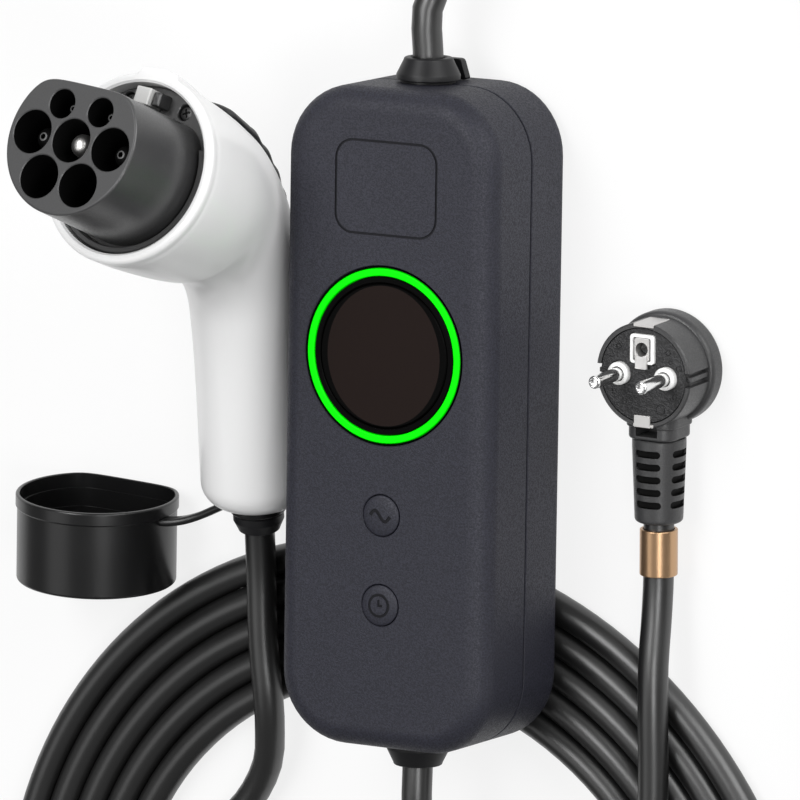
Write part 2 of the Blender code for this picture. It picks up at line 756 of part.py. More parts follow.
def case_screws():
    """Four pan-head screws, driven from the back into the front shell's bosses."""
    head_top = SCREW_SINK + SCREW_HEAD_HEIGHT
    tip = FRONT_FLOOR + SCREW_BITE
    profile = [
        (0.0, tip), (SCREW_RADIUS * 0.55, tip), (SCREW_RADIUS, tip - SCREW_RADIUS),
        (SCREW_RADIUS, head_top), (SCREW_HEAD_RADIUS, head_top),
        (SCREW_HEAD_RADIUS, SCREW_SINK + SCREW_HEAD_HEIGHT * 0.4),
        (SCREW_HEAD_RADIUS * 0.72, SCREW_SINK), (0.0, SCREW_SINK),
    ]
    for number, (x, y) in enumerate(SCREW_PLACES, start=1):
        name = f"case_screw_{number}"
        screw = turned(name, profile, case_frame, SCREW_STEEL, SMALL_SIDES, at=(x, y, 0))
        slot = SCREW_HEAD_RADIUS * 1.1
        arms = [
            block("arm", (slot, SCREW_RADIUS * 0.5, SCREW_HEAD_HEIGHT), (0, 0, SCREW_SINK)),
            block("arm", (SCREW_RADIUS * 0.5, slot, SCREW_HEAD_HEIGHT), (0, 0, SCREW_SINK)),
        ]
        for index, arm in enumerate(arms):
            boolean(screw, place(f"{name}_slot_{index}", arm, case_frame, at=(x, y, 0)))


def glands():
    """The strain reliefs that the case's two shells trap at their ends."""
    flange_end = -CASE_WALL - GAP
    profile = [
        (0.0, GLAND_HEIGHT - LEAD_SEAT),
        (LEAD_RADIUS + LEAD_FIT, GLAND_HEIGHT - LEAD_SEAT),
        (LEAD_RADIUS + LEAD_FIT, GLAND_HEIGHT),
        (GLAND_TIP - 0.0006, GLAND_HEIGHT),
        (GLAND_TIP, GLAND_HEIGHT - 0.0006),
        (GLAND_BASE, GLAND_SKIRT),
        (GLAND_BASE - 0.0004, 0.0012),
        (GLAND_BASE - 0.0016, GAP),
        (GLAND_NECK, GAP),
        (GLAND_NECK, flange_end),
        (GLAND_INNER_FLANGE, flange_end),
        (GLAND_INNER_FLANGE, flange_end - 0.0022),
        (GLAND_NECK - 0.001, -CASE_WALL - GLAND_INNER_DEPTH),
        (0.0, -CASE_WALL - GLAND_INNER_DEPTH),
    ]
    for name, sign in (("upper_gland", 1), ("lower_gland", -1)):
        turned(name, profile, case_frame, BLACK_RUBBER, MEDIUM_SIDES,
               at=(0, sign * CASE_HEIGHT / 2, CASE_SEAM), turn=(-sign * math.pi / 2, 0, 0))


def hanging_lug():
    """A small moulded lug with an eye, behind the upper gland."""
    wide, narrow = (width / 2 for width in LUG_WIDTHS)
    outline = [(-wide, 0.0), (wide, 0.0), (narrow, LUG_HEIGHT), (-narrow, LUG_HEIGHT)]
    lug = place("hanging_lug",
                prism("hanging_lug", outline, -LUG_THICKNESS / 2, LUG_THICKNESS / 2),
                case_frame, BLACK_RUBBER,
                at=(0, CASE_HEIGHT / 2 + GAP, LUG_DEPTH_PLACE))
    eye = place("lug_eye", drum("lug_eye", LUG_EYE, -LUG_THICKNESS, LUG_THICKNESS, SMALL_SIDES),
                case_frame, at=(0, CASE_HEIGHT / 2 + LUG_HEIGHT * 0.55, LUG_DEPTH_PLACE))
    boolean(lug, eye)


def display():
    """The bezel, light ring and window, one inside the other, and the module behind."""
    at = (0, DISPLAY_HEIGHT_ON_CASE, 0)
    ring_inner = RING_OUTER - RING_WIDTH
    window = ring_inner - GAP - BEZEL_ANNULUS
    flange_top = FRONT_INNER - GAP
    floor = flange_top - BEZEL_FLANGE_THICKNESS
    ring_floor = CASE_DEPTH - WINDOW_THICKNESS - 2 * GAP
    window_floor = CASE_DEPTH - WINDOW_THICKNESS - GAP
    bezel = [
        (window - WINDOW_LEDGE, window_floor - GAP),
        (window + GAP, window_floor - GAP),
        (window + GAP, CASE_DEPTH),
        (ring_inner - GAP, CASE_DEPTH),
        (ring_inner - GAP, ring_floor - GAP),
        (RING_OUTER + GAP, ring_floor - GAP),
        (RING_OUTER + GAP, CASE_DEPTH + GAP),
        (RING_OUTER + BEZEL_LIP, CASE_DEPTH + GAP),
        (RING_OUTER + BEZEL_LIP, flange_top),
        (RING_OUTER + BEZEL_FLANGE_REACH, flange_top),
        (RING_OUTER + BEZEL_FLANGE_REACH, floor),
        (window - WINDOW_LEDGE, floor),
    ]
    turned("screen_bezel", bezel, case_frame, BLACK_GLOSS, FINE_SIDES, closed=True, at=at)
    ring = [
        (ring_inner, ring_floor),
        (ring_inner, CASE_DEPTH - GAP),
        (ring_inner + 0.0006, CASE_DEPTH + GAP),
        (RING_OUTER - 0.0006, CASE_DEPTH + GAP),
        (RING_OUTER, CASE_DEPTH - GAP),
        (RING_OUTER, ring_floor),
    ]
    turned("light_ring", ring, case_frame, RING_GREEN, FINE_SIDES, closed=True, at=at)
    glass = [
        (0.0, CASE_DEPTH), (window - 0.0004, CASE_DEPTH), (window, CASE_DEPTH - 0.0004),
        (window, window_floor), (0.0, window_floor),
    ]
    turned("screen_window", glass, case_frame, WINDOW_BROWN, FINE_SIDES, at=at)
    width, height = DISPLAY_SIZE
    module_top = floor - GAP
    module = block("display_module", (width, height, module_top - CONTROL_BOARD_TOP - GAP),
                   (0, 0, (module_top + CONTROL_BOARD_TOP + GAP) / 2), 0.0006)
    place("display_module", module, case_frame, BLACK_GLOSS, at=at)


def keys():
    """The two domed push keys and the switches that they press."""
    flange_top = -CASE_WALL - GAP
    flange_floor = flange_top - KEY_FLANGE_THICKNESS
    stem_floor = flange_floor - KEY_STEM_LENGTH
    dome = [
        (KEY_RADIUS * math.sin(step / 6 * math.pi / 2),
         KEY_RISE * (math.cos(step / 6 * math.pi / 2) - 0.15))
        for step in range(7)
    ]
    profile = dome + [
        (KEY_RADIUS, flange_top), (KEY_FLANGE, flange_top), (KEY_FLANGE, flange_floor),
        (KEY_STEM_RADIUS, flange_floor), (KEY_STEM_RADIUS, stem_floor), (0.0, stem_floor),
    ]
    for name, height in KEY_PLACES.items():
        turned(name, profile, case_frame, SLATE, MEDIUM_SIDES, at=(0, height, CASE_DEPTH))
        switch = block(f"{name}_switch", (SWITCH_SIZE, SWITCH_SIZE, SWITCH_HEIGHT),
                       (0, 0, CONTROL_BOARD_TOP + GAP + SWITCH_HEIGHT / 2), 0.0003)
        place(f"{name}_switch", switch, case_frame, BLACK_GLOSS, at=(0, height, 0))


def boards():
    """The control board behind the display and the main board with its parts."""
    low, high = CONTROL_BOARD_ENDS
    outline = [(x, y + (low + high) / 2) for x, y in
               rounded_rectangle(CONTROL_BOARD_WIDTH, high - low, MAIN_BOARD_CORNER, 3)]
    place("control_board", prism("control_board", outline,
                                 CONTROL_BOARD_TOP - BOARD_THICKNESS, CONTROL_BOARD_TOP),
          case_frame, BOARD_GREEN)
    outline = rounded_rectangle(*MAIN_BOARD_SIZE, MAIN_BOARD_CORNER, 3)
    place("main_board", prism("main_board", outline, MAIN_BOARD_BOTTOM, MAIN_BOARD_TOP),
          case_frame, BOARD_GREEN)
    on_board = MAIN_BOARD_TOP + GAP
    terminal_row = MAIN_BOARD_SIZE[1] / 2 - TERMINAL_INSET
    for name, size, across, clearance, sign, look in (
            ("power_relay", RELAY_SIZE, RELAY_ACROSS, RELAY_CLEARANCE, 1, PART_BLUE),
            ("power_supply", SUPPLY_SIZE, SUPPLY_ACROSS, SUPPLY_CLEARANCE, -1, PART_YELLOW)):
        along = terminal_row - TERMINAL_SIZE[1] / 2 - clearance - size[1] / 2
        place(name, block(name, size, (0, 0, size[2] / 2), 0.0008), case_frame, look,
              at=(across, sign * along, on_board))
    sensor = [
        (SENSOR_INNER, 0.0), (SENSOR_INNER, SENSOR_HEIGHT), (SENSOR_OUTER - 0.001, SENSOR_HEIGHT),
        (SENSOR_OUTER, SENSOR_HEIGHT - 0.001), (SENSOR_OUTER, 0.001), (SENSOR_OUTER - 0.001, 0.0),
    ]
    turned("fault_current_sensor", sensor, case_frame, BLACK_GLOSS, MEDIUM_SIDES, closed=True,
           at=(*SENSOR_PLACE, on_board))
    for name, sign in (("output_terminals", 1), ("input_terminals", -1)):
        width, depth, height = TERMINAL_SIZE
        body = place(name, block(name, TERMINAL_SIZE, (0, 0, height / 2), 0.0004),
                     case_frame, PART_GREY, at=(0, sign * terminal_row, on_board))
        pitch = width / TERMINAL_WAYS
        ways = [
            shifted(drum("way", TERMINAL_FUNNEL, -depth, -depth / 6, SMALL_SIDES),
                    ((index - (TERMINAL_WAYS - 1) / 2) * pitch, 0, 0))
            for index in range(TERMINAL_WAYS)
        ]
        boolean(body, place(f"{name}_ways", gathered(f"{name}_ways", ways), case_frame,
                            at=(0, sign * terminal_row, on_board + height / 3),
                            turn=(sign * math.pi / 2, 0, 0)))


# Vehicle connector

HANDLE_LINE = Vector((0.0, -math.sin(GUN_BEND), math.cos(GUN_BEND)))
TAIL_POINT = Vector((0.0, 0.0, -GUN_HEAD_DEPTH)) + GUN_HANDLE_LENGTH * HANDLE_LINE
FLANGE_TOP = -FLANGE_SET_BACK
FLANGE_BOTTOM = FLANGE_TOP - FLANGE_THICKNESS
POCKET_FLOOR = FLANGE_BOTTOM - 2 * GAP - RETAINER_THICKNESS
CHAMBERS = {
    "earth_contact": ((0.0, 0.0), POWER_CHAMBER),
    "line_contact": ((-POWER_ROW, 0.0), POWER_CHAMBER),
    "neutral_contact": ((POWER_ROW, 0.0), POWER_CHAMBER),
    "spare_way_left": ((-LOWER_PAIR[0], LOWER_PAIR[1]), POWER_CHAMBER),
    "spare_way_right": (LOWER_PAIR, POWER_CHAMBER),
    "proximity_contact": ((-UPPER_PAIR[0], UPPER_PAIR[1]), SIGNAL_CHAMBER),
    "pilot_contact": (UPPER_PAIR, SIGNAL_CHAMBER),
}


def gun_axis(share):
    """A point on the connector's middle line and the line's direction towards the tail.

    The line runs straight back from the rim, round one arc, then straight to the tail.
    """
    turn = math.pi - GUN_BEND
    reach = GUN_BEND_RADIUS * math.tan(turn / 2)
    head = GUN_HEAD_DEPTH - reach
    arc = GUN_BEND_RADIUS * turn
    gone = share * (head + arc + GUN_HANDLE_LENGTH - reach)
    angle = min(max(gone - head, 0.0) / GUN_BEND_RADIUS, turn)
    line = Vector((0.0, -math.sin(angle), -math.cos(angle)))
    point = Vector((0.0, GUN_BEND_RADIUS * (math.cos(angle) - 1),
                    -min(gone, head) - GUN_BEND_RADIUS * math.sin(angle)))
    return point + max(gone - head - arc, 0.0) * line, line


def gun_size(share):
    """The section's half width and half depth at a place on the middle line."""
    last = len(GUN_SECTIONS) - 1
    index = min(sum(stop[0] <= share for stop in GUN_SECTIONS[1:]), last - 1)
    start, end = GUN_SECTIONS[index:index + 2]
    before = GUN_SECTIONS[max(index - 1, 0)]
    after = GUN_SECTIONS[min(index + 2, last)]
    span = end[0] - start[0]
    t = (share - start[0]) / span
    sizes = []
    for side in (1, 2):
        leave = span * (end[side] - before[side]) / (end[0] - before[0])
        arrive = span * (after[side] - start[side]) / (after[0] - start[0])
        sizes.append(start[side] * (2 * t ** 3 - 3 * t * t + 1) + leave * (t ** 3 - 2 * t * t + t)
                     + end[side] * (3 * t * t - 2 * t ** 3) + arrive * (t ** 3 - t * t))
    return sizes


def gun_point(share, angle, offset=0.0):
    """A point on the connector's skin, the angle counted from the outer side of its bend."""
    middle, line = gun_axis(share)
    width, depth = gun_size(share)
    outward = Vector((0.0, -line.z, line.y))
    return (middle + (width + offset) * math.sin(angle) * Vector((1, 0, 0))
            + (depth + offset) * math.cos(angle) * outward)


def gun_shell():
    """The white body: a loft of round sections from the rim, round the bend, to the tail."""
    corners = [math.pi / 2 * step / 3 for step in range(4)]
    angles = [2 * math.pi * side / GUN_SIDES for side in range(GUN_SIDES)]
    rings = [
        [gun_point(0.0, angle, GUN_RIM_ROUND * (math.sin(corner) - 1))
         + Vector((0, 0, GUN_RIM_ROUND * math.cos(corner))) for angle in angles]
        for corner in corners
    ]
    rings += [[gun_point(step / GUN_RINGS, angle) for angle in angles]
              for step in range(1, GUN_RINGS + 1)]
    rings += [
        [gun_point(1.0, angle, GUN_END_ROUND * (math.cos(corner) - 1))
         + GUN_END_ROUND * math.sin(corner) * HANDLE_LINE for angle in angles]
        for corner in corners[1:]
    ]
    build = bmesh.new()
    loops = [[build.verts.new(point) for point in ring] for ring in rings]
    for first, second in zip(loops, loops[1:]):
        for side in range(GUN_SIDES):
            after = (side + 1) % GUN_SIDES
            build.faces.new((first[side], first[after], second[after], second[side]))
    build.faces.new(loops[0])
    build.faces.new(list(reversed(loops[-1])))
    shell = place("gun_shell", to_mesh("gun_shell", build), gun_frame, WHITE_SHELL)
    pocket = place("nose_pocket",
                   drum("nose_pocket", RECESS_RADIUS, POCKET_FLOOR, 4 * GUN_RIM_ROUND, FINE_SIDES),
                   gun_frame)
    boolean(shell, pocket)
    seat = place("tail_bore",
                 drum("tail_bore", TAIL_SHANK + GAP, -TAIL_SHANK_DEPTH - GAP, 0.02, MEDIUM_SIDES),
                 gun_frame, at=tail_place(), turn=(GUN_BEND, 0, 0))
    boolean(shell, seat)
    shade_round(shell.data, 40)


def tail_place():
    """The middle of the handle's end face."""
    return TAIL_POINT + GUN_END_ROUND * HANDLE_LINE


def contact_housing():
    """The grey nose with its ways, standing on the round flange, in one moulding."""
    housing = place("contact_housing",
                    prism("contact_housing", d_outline(NOSE_RADIUS, NOSE_FLAT),
                          FLANGE_TOP - FLANGE_THICKNESS / 2, FLANGE_TOP + NOSE_LENGTH,
                          top_round=NOSE_EDGE, steps=2),
                    gun_frame, GREY_HOUSING)
    flange = place("housing_flange",
                   drum("housing_flange", RECESS_RADIUS - GAP, FLANGE_BOTTOM, FLANGE_TOP,
                        FINE_SIDES), gun_frame)
    boolean(housing, flange, "UNION")
    outer = RECESS_RADIUS - GAP - 0.0004
    collar = turned("housing_collar",
                    [(outer - COLLAR_WIDTH, FLANGE_TOP - 0.002),
                     (outer - COLLAR_WIDTH, FLANGE_TOP + COLLAR_HEIGHT),
                     (outer, FLANGE_TOP + COLLAR_HEIGHT), (outer, FLANGE_TOP - 0.002)],
                    gun_frame, sides=FINE_SIDES, closed=True)
    opening = place("collar_opening",
                    block("collar_opening", (4 * NOSE_RADIUS, 2 * NOSE_RADIUS, 2 * COLLAR_HEIGHT),
                          (0, COLLAR_OPENING + NOSE_RADIUS, FLANGE_TOP + COLLAR_HEIGHT)),
                    gun_frame)
    boolean(collar, opening)
    boolean(housing, collar, "UNION")
    nose_top = FLANGE_TOP + NOSE_LENGTH
    ways = [
        shifted(drum("way", radius, nose_top - CHAMBER_DEPTH, nose_top + 0.01, POCKET_SIDES),
                (x, y, 0))
        for (x, y), radius in CHAMBERS.values()
    ]
    boolean(housing, place("contact_ways", gathered("contact_ways", ways), gun_frame))
    head_floor = FLANGE_TOP - FLANGE_SCREW_SINK - FLANGE_SCREW_HEAD_HEIGHT
    for kind, radius, floor, top in (
            ("sink", FLANGE_SCREW_HEAD + GAP, head_floor, FLANGE_TOP + 0.01),
            ("way", FLANGE_SCREW_SHANK + GAP, FLANGE_BOTTOM - 0.01, head_floor + GAP)):
        holes = [
            shifted(drum(kind, radius, floor, top, SMALL_SIDES),
                    (sign * FLANGE_SCREW_PLACE[0], FLANGE_SCREW_PLACE[1], 0))
            for sign in (-1, 1)
        ]
        name = f"flange_screw_{kind}s"
        boolean(housing, place(name, gathered(name, holes), gun_frame))
    width, depth, _ = CATCH_SIZE
    seat = block("catch_seat", (width + 2 * GAP, depth + 2 * GAP, 0.004 + GAP),
                 (0, CATCH_PLACE, FLANGE_TOP))
    boolean(housing, place("catch_seat", seat, gun_frame))
    shade_round(housing.data)


def contacts():
    """The silvered contacts in the ways that a single-phase lead uses."""
    floor = FLANGE_TOP + NOSE_LENGTH - CHAMBER_DEPTH + GAP
    nose_top = FLANGE_TOP + NOSE_LENGTH
    for name, ((x, y), chamber) in CHAMBERS.items():
        if name.startswith("spare"):
            continue
        radius = SIGNAL_CONTACT if chamber == SIGNAL_CHAMBER else POWER_CONTACT
        tip = nose_top - CONTACT_SET_BACK
        if name == "earth_contact":
            radius, tip = EARTH_CONTACT, nose_top - EARTH_SET_BACK
        profile = [
            (radius * math.sin(step / 4 * math.pi / 2),
             tip - radius * (1 - math.cos(step / 4 * math.pi / 2)))
            for step in range(5)
        ] + [
            (radius, floor + 0.004), (radius + 0.0010, floor + 0.003),
            (radius + 0.0010, floor), (0.0, floor),
        ]
        turned(name, profile, gun_frame, CONTACT_METAL, SMALL_SIDES, at=(x, y, 0))


def connector_fittings():
    """The retainer behind the housing, the locking catch and the flange screws."""
    place("contact_retainer",
          drum("contact_retainer", RETAINER_RADIUS, POCKET_FLOOR + GAP,
               POCKET_FLOOR + GAP + RETAINER_THICKNESS, MEDIUM_SIDES),
          gun_frame, GREY_HOUSING)
    width, depth, rise = CATCH_SIZE
    foot = 0.002 - GAP / 2
    catch = block("locking_catch", (width, depth, rise + foot),
                  (0, CATCH_PLACE, FLANGE_TOP + (rise - foot) / 2), 0.0009)
    place("locking_catch", catch, gun_frame, EARTH_METAL)
    head_top = FLANGE_TOP - FLANGE_SCREW_SINK
    head_floor = head_top - FLANGE_SCREW_HEAD_HEIGHT + GAP
    profile = [
        (0.0, head_top), (FLANGE_SCREW_HEAD * 0.75, head_top),
        (FLANGE_SCREW_HEAD, head_top - 0.0006), (FLANGE_SCREW_HEAD, head_floor),
        (FLANGE_SCREW_SHANK, head_floor), (FLANGE_SCREW_SHANK, FLANGE_BOTTOM), (0.0, FLANGE_BOTTOM),
    ]
    for side, sign in (("left", -1), ("right", 1)):
        x, y = sign * FLANGE_SCREW_PLACE[0], FLANGE_SCREW_PLACE[1]
        screw = turned(f"flange_screw_{side}", profile, gun_frame, SCREW_STEEL, SMALL_SIDES,
                       at=(x, y, 0))
        for index, turn in enumerate((0.4, 0.4 + math.pi / 2)):
            arm = block("arm", (FLANGE_SCREW_HEAD * 1.3, 0.0006, 0.0012), (0, 0, head_top))
            boolean(screw, place(f"flange_screw_{side}_slot_{index}", arm, gun_frame,
                                 at=(x, y, 0), turn=(0, 0, turn)))


def thumb_pad():
    """The rubber pad that follows the back of the connector's head."""
    rows, columns = 12, 8
    build = bmesh.new()
    start, end = PAD_RANGE
    grid = []
    for row in range(rows + 1):
        spread = PAD_HALF_ANGLE * math.sin(math.pi * (0.16 + 0.68 * row / rows)) ** 0.5
        grid.append([
            build.verts.new(gun_point(start + (end - start) * row / rows,
                                      (2 * column / columns - 1) * spread, GAP))
            for column in range(columns + 1)
        ])
    for first, second in zip(grid, grid[1:]):
        for column in range(columns):
            build.faces.new((first[column], first[column + 1],
                             second[column + 1], second[column]))
    pad = place("thumb_pad", to_mesh("thumb_pad", build), gun_frame, BLACK_RUBBER)
    wall = pad.modifiers.new("wall", "SOLIDIFY")
    wall.thickness = PAD_THICKNESS
    wall.offset = 1.0
    wall.use_even_offset = True
    shade_round(pad.data)


def gun_gland():
    """The gland at the handle's end, with its shank in the handle and its lead seat."""
    flange_floor = RING_THICKNESS + 2 * GAP
    tip = flange_floor + TAIL_LENGTH
    profile = [
        (0.0, tip - LEAD_SEAT), (LEAD_RADIUS + LEAD_FIT, tip - LEAD_SEAT), (LEAD_RADIUS + LEAD_FIT, tip),
        (TAIL_TIP - 0.0006, tip), (TAIL_TIP, tip - 0.0006),
        (TAIL_FLANGE, flange_floor + 0.0030), (TAIL_FLANGE, flange_floor + 0.0006),
        (TAIL_FLANGE - 0.0006, flange_floor),
        (TAIL_SHANK, flange_floor), (TAIL_SHANK, -TAIL_SHANK_DEPTH), (0.0, -TAIL_SHANK_DEPTH),
    ]
    turned("gun_gland", profile, gun_frame, BLACK_RUBBER, MEDIUM_SIDES,
           at=tail_place(), turn=(GUN_BEND, 0, 0))


def dust_cap():
    """The rubber cap, its strap and the ring that holds it at the handle's end."""
    bead_flat = CAP_FLAT + CAP_BEAD
    cap = place("dust_cap",
                prism("dust_cap", d_outline(CAP_OUTER, CAP_FLAT), -CAP_LENGTH,
                      -CAP_BEAD_LENGTH / 2, bottom_round=0.0012, steps=2),
                cap_frame, BLACK_RUBBER)
    bead = place("cap_bead",
                 prism("cap_bead", d_outline(CAP_OUTER + CAP_BEAD, bead_flat),
                       -CAP_BEAD_LENGTH, 0.0, top_round=0.0008, bottom_round=0.0008, steps=2),
                 cap_frame)
    boolean(cap, bead, "UNION")
    ring_middle = GAP + RING_THICKNESS / 2
    inner = TAIL_SHANK + GAP
    outer = inner + RING_WALL
    half = RING_THICKNESS / 2
    ring = turned("cap_ring",
                  [(inner, -half), (inner, half), (outer - 0.0005, half), (outer, half - 0.0005),
                   (outer, 0.0005 - half), (outer - 0.0005, -half)],
                  gun_frame, sides=MEDIUM_SIDES, closed=True,
                  at=tail_place() + ring_middle * HANDLE_LINE, turn=(GUN_BEND, 0, 0))
    boolean(cap, ring, "UNION")
    strap = bpy.data.curves.new("cap_strap", "CURVE")
    strap.dimensions = "3D"
    strap.twist_mode = "Z_UP"
    strap.bevel_depth = STRAP_THICKNESS / 2
    strap.bevel_resolution = 2
    strap.extrude = (STRAP_WIDTH - STRAP_THICKNESS) / 2
    strap.use_fill_caps = True
    route = smooth_route(STRAP_ROUTE, 0.0035)
    spline = strap.splines.new("POLY")
    spline.points.add(len(route) - 1)
    for slot, point in zip(spline.points, route):
        slot.co = (*point, 1.0)
    item = bpy.data.objects.new("cap_strap", strap)
    CUTTERS.objects.link(item)
    boolean(cap, curve_as_mesh(item, "cap_strap_mesh", layout), "UNION")
    cavity = place("cap_cavity",
                   prism("cap_cavity", d_outline(CAP_OUTER - CAP_WALL, CAP_FLAT - CAP_WALL),
                         CAP_FLOOR - CAP_LENGTH, 0.01), cap_frame)
    boolean(cap, cavity)
    for number, depth in enumerate(reversed(CAP_LIP_DEPTHS), start=1):
        inset = CAP_WALL - number * CAP_LIP_STEP
        lip = place(f"cap_lip_{number}",
                    prism(f"cap_lip_{number}", d_outline(CAP_OUTER - inset, CAP_FLAT - inset),
                          -depth, 0.02), cap_frame)
        boolean(cap, lip)
    shade_round(cap.data)


# Mains plug


def plug_body():
    """The plug's body: a round barrel with guide grooves on a wider base with a neck."""
    base = [
        (PLUG_BASE_RADIUS - PLUG_BASE_ROUND * (1 - math.sin(step / 3 * math.pi / 2)),
         PLUG_BASE_DEPTH - PLUG_BASE_ROUND * (1 - math.cos(step / 3 * math.pi / 2)))
        for step in range(4)
    ]
    profile = [(0.0, PLUG_DEPTH), (PLUG_RADIUS, PLUG_DEPTH), (PLUG_RADIUS, PLUG_BASE_DEPTH)]
    profile += base[1:] if PLUG_RADIUS > PLUG_BASE_RADIUS - PLUG_BASE_ROUND else base
    profile += [(radius, GAP + PLUG_BASE_DEPTH - height) for radius, height in reversed(base)]
    profile.append((0.0, GAP))
    body = turned("plug_body", profile, plug_frame, PLUG_BLACK)
    neck = place("plug_neck",
                 drum("plug_neck", PLUG_NECK_RADIUS, 0.0, PLUG_NECK_LENGTH, MEDIUM_SIDES),
                 plug_frame, at=(0, 0, BOOT_AXIS_HEIGHT), turn=(math.pi / 2, 0, 0))
    boolean(body, neck, "UNION")
    guides = [
        block("guide", (2 * PLUG_GUIDE_DEPTH, PLUG_GUIDE_WIDTH, 2 * PLUG_DEPTH),
              (sign * PLUG_RADIUS, 0, PLUG_BASE_DEPTH + PLUG_DEPTH))
        for sign in (-1, 1)
    ]
    boolean(body, place("plug_guides", gathered("plug_guides", guides), plug_frame))
    ribs = [
        block("rib", (PLUG_GUIDE_DEPTH, PLUG_RIB_WIDTH, PLUG_DEPTH - PLUG_BASE_DEPTH - 0.002),
              (sign * (PLUG_RADIUS - PLUG_GUIDE_DEPTH * 0.7), 0,
               (PLUG_DEPTH + PLUG_BASE_DEPTH) / 2 - 0.001))
        for sign in (-1, 1)
    ]
    for index, rib in enumerate(ribs):
        boolean(body, place(f"plug_rib_{index}", rib, plug_frame), "UNION")
    well = place("plug_well",
                 drum("plug_well", PLUG_FACE_RADIUS + GAP,
                      PLUG_DEPTH - PLUG_FACE_THICKNESS - GAP, 2 * PLUG_DEPTH, FINE_SIDES),
                 plug_frame)
    boolean(body, well)
    roots = [
        shifted(drum("root", PIN_RADIUS + GAP, PLUG_DEPTH - PLUG_FACE_THICKNESS - PIN_ROOT - GAP,
                     PLUG_DEPTH, SMALL_SIDES), (sign * PIN_SPACING / 2, 0, 0))
        for sign in (-1, 1)
    ]
    boolean(body, place("pin_roots", gathered("pin_roots", roots), plug_frame))
    socket = drum("earth_bore", EARTH_SOCKET_RADIUS + EARTH_SLEEVE_WALL + GAP,
                  PLUG_DEPTH - PLUG_FACE_THICKNESS - EARTH_SLEEVE_DEPTH, PLUG_DEPTH, SMALL_SIDES)
    boolean(body, place("earth_bore", socket, plug_frame, at=(0, EARTH_FRAME_PLACE, 0)))
    slots = [
        block("slot", (CLIP_WIDTH + 2 * GAP, CLIP_THICKNESS + 0.004, CLIP_LENGTH + 2 * GAP),
              (0, sign * (PLUG_RADIUS + 0.002 - GAP - CLIP_THICKNESS / 2),
               PLUG_DEPTH - CLIP_LENGTH / 2))
        for sign in (-1, 1)
    ]
    boolean(body, place("clip_slots", gathered("clip_slots", slots), plug_frame))
    seat = drum("boot_seat", LEAD_RADIUS + GAP, PLUG_NECK_LENGTH - 0.004,
                PLUG_NECK_LENGTH + 0.002, MEDIUM_SIDES)
    boolean(body, place("boot_seat", seat, plug_frame, at=(0, 0, BOOT_AXIS_HEIGHT),
                        turn=(math.pi / 2, 0, 0)))
    shade_round(body.data)


def plug_face():
    """The face insert, with the ways for the pins, the earth frame and the clips' lips."""
    top = PLUG_DEPTH
    floor = top - PLUG_FACE_THICKNESS
    face = place("plug_face", drum("plug_face", PLUG_FACE_RADIUS, floor, top, FINE_SIDES),
                 plug_frame, PLUG_BLACK)
    ways = [
        shifted(drum("way", PIN_COLLAR_RADIUS + GAP, floor - 0.001, top + 0.001, POCKET_SIDES),
                (sign * PIN_SPACING / 2, 0, 0))
        for sign in (-1, 1)
    ]
    boolean(face, place("collar_ways", gathered("collar_ways", ways), plug_frame))
    width, height = EARTH_FRAME_SIZE
    frame_way = block("frame_way", (width + 2 * GAP, height + 2 * GAP, 2 * PLUG_FACE_THICKNESS + 0.004),
                      (0, EARTH_FRAME_PLACE, top))
    boolean(face, place("frame_way", frame_way, plug_frame))
    shade_round(face.data)


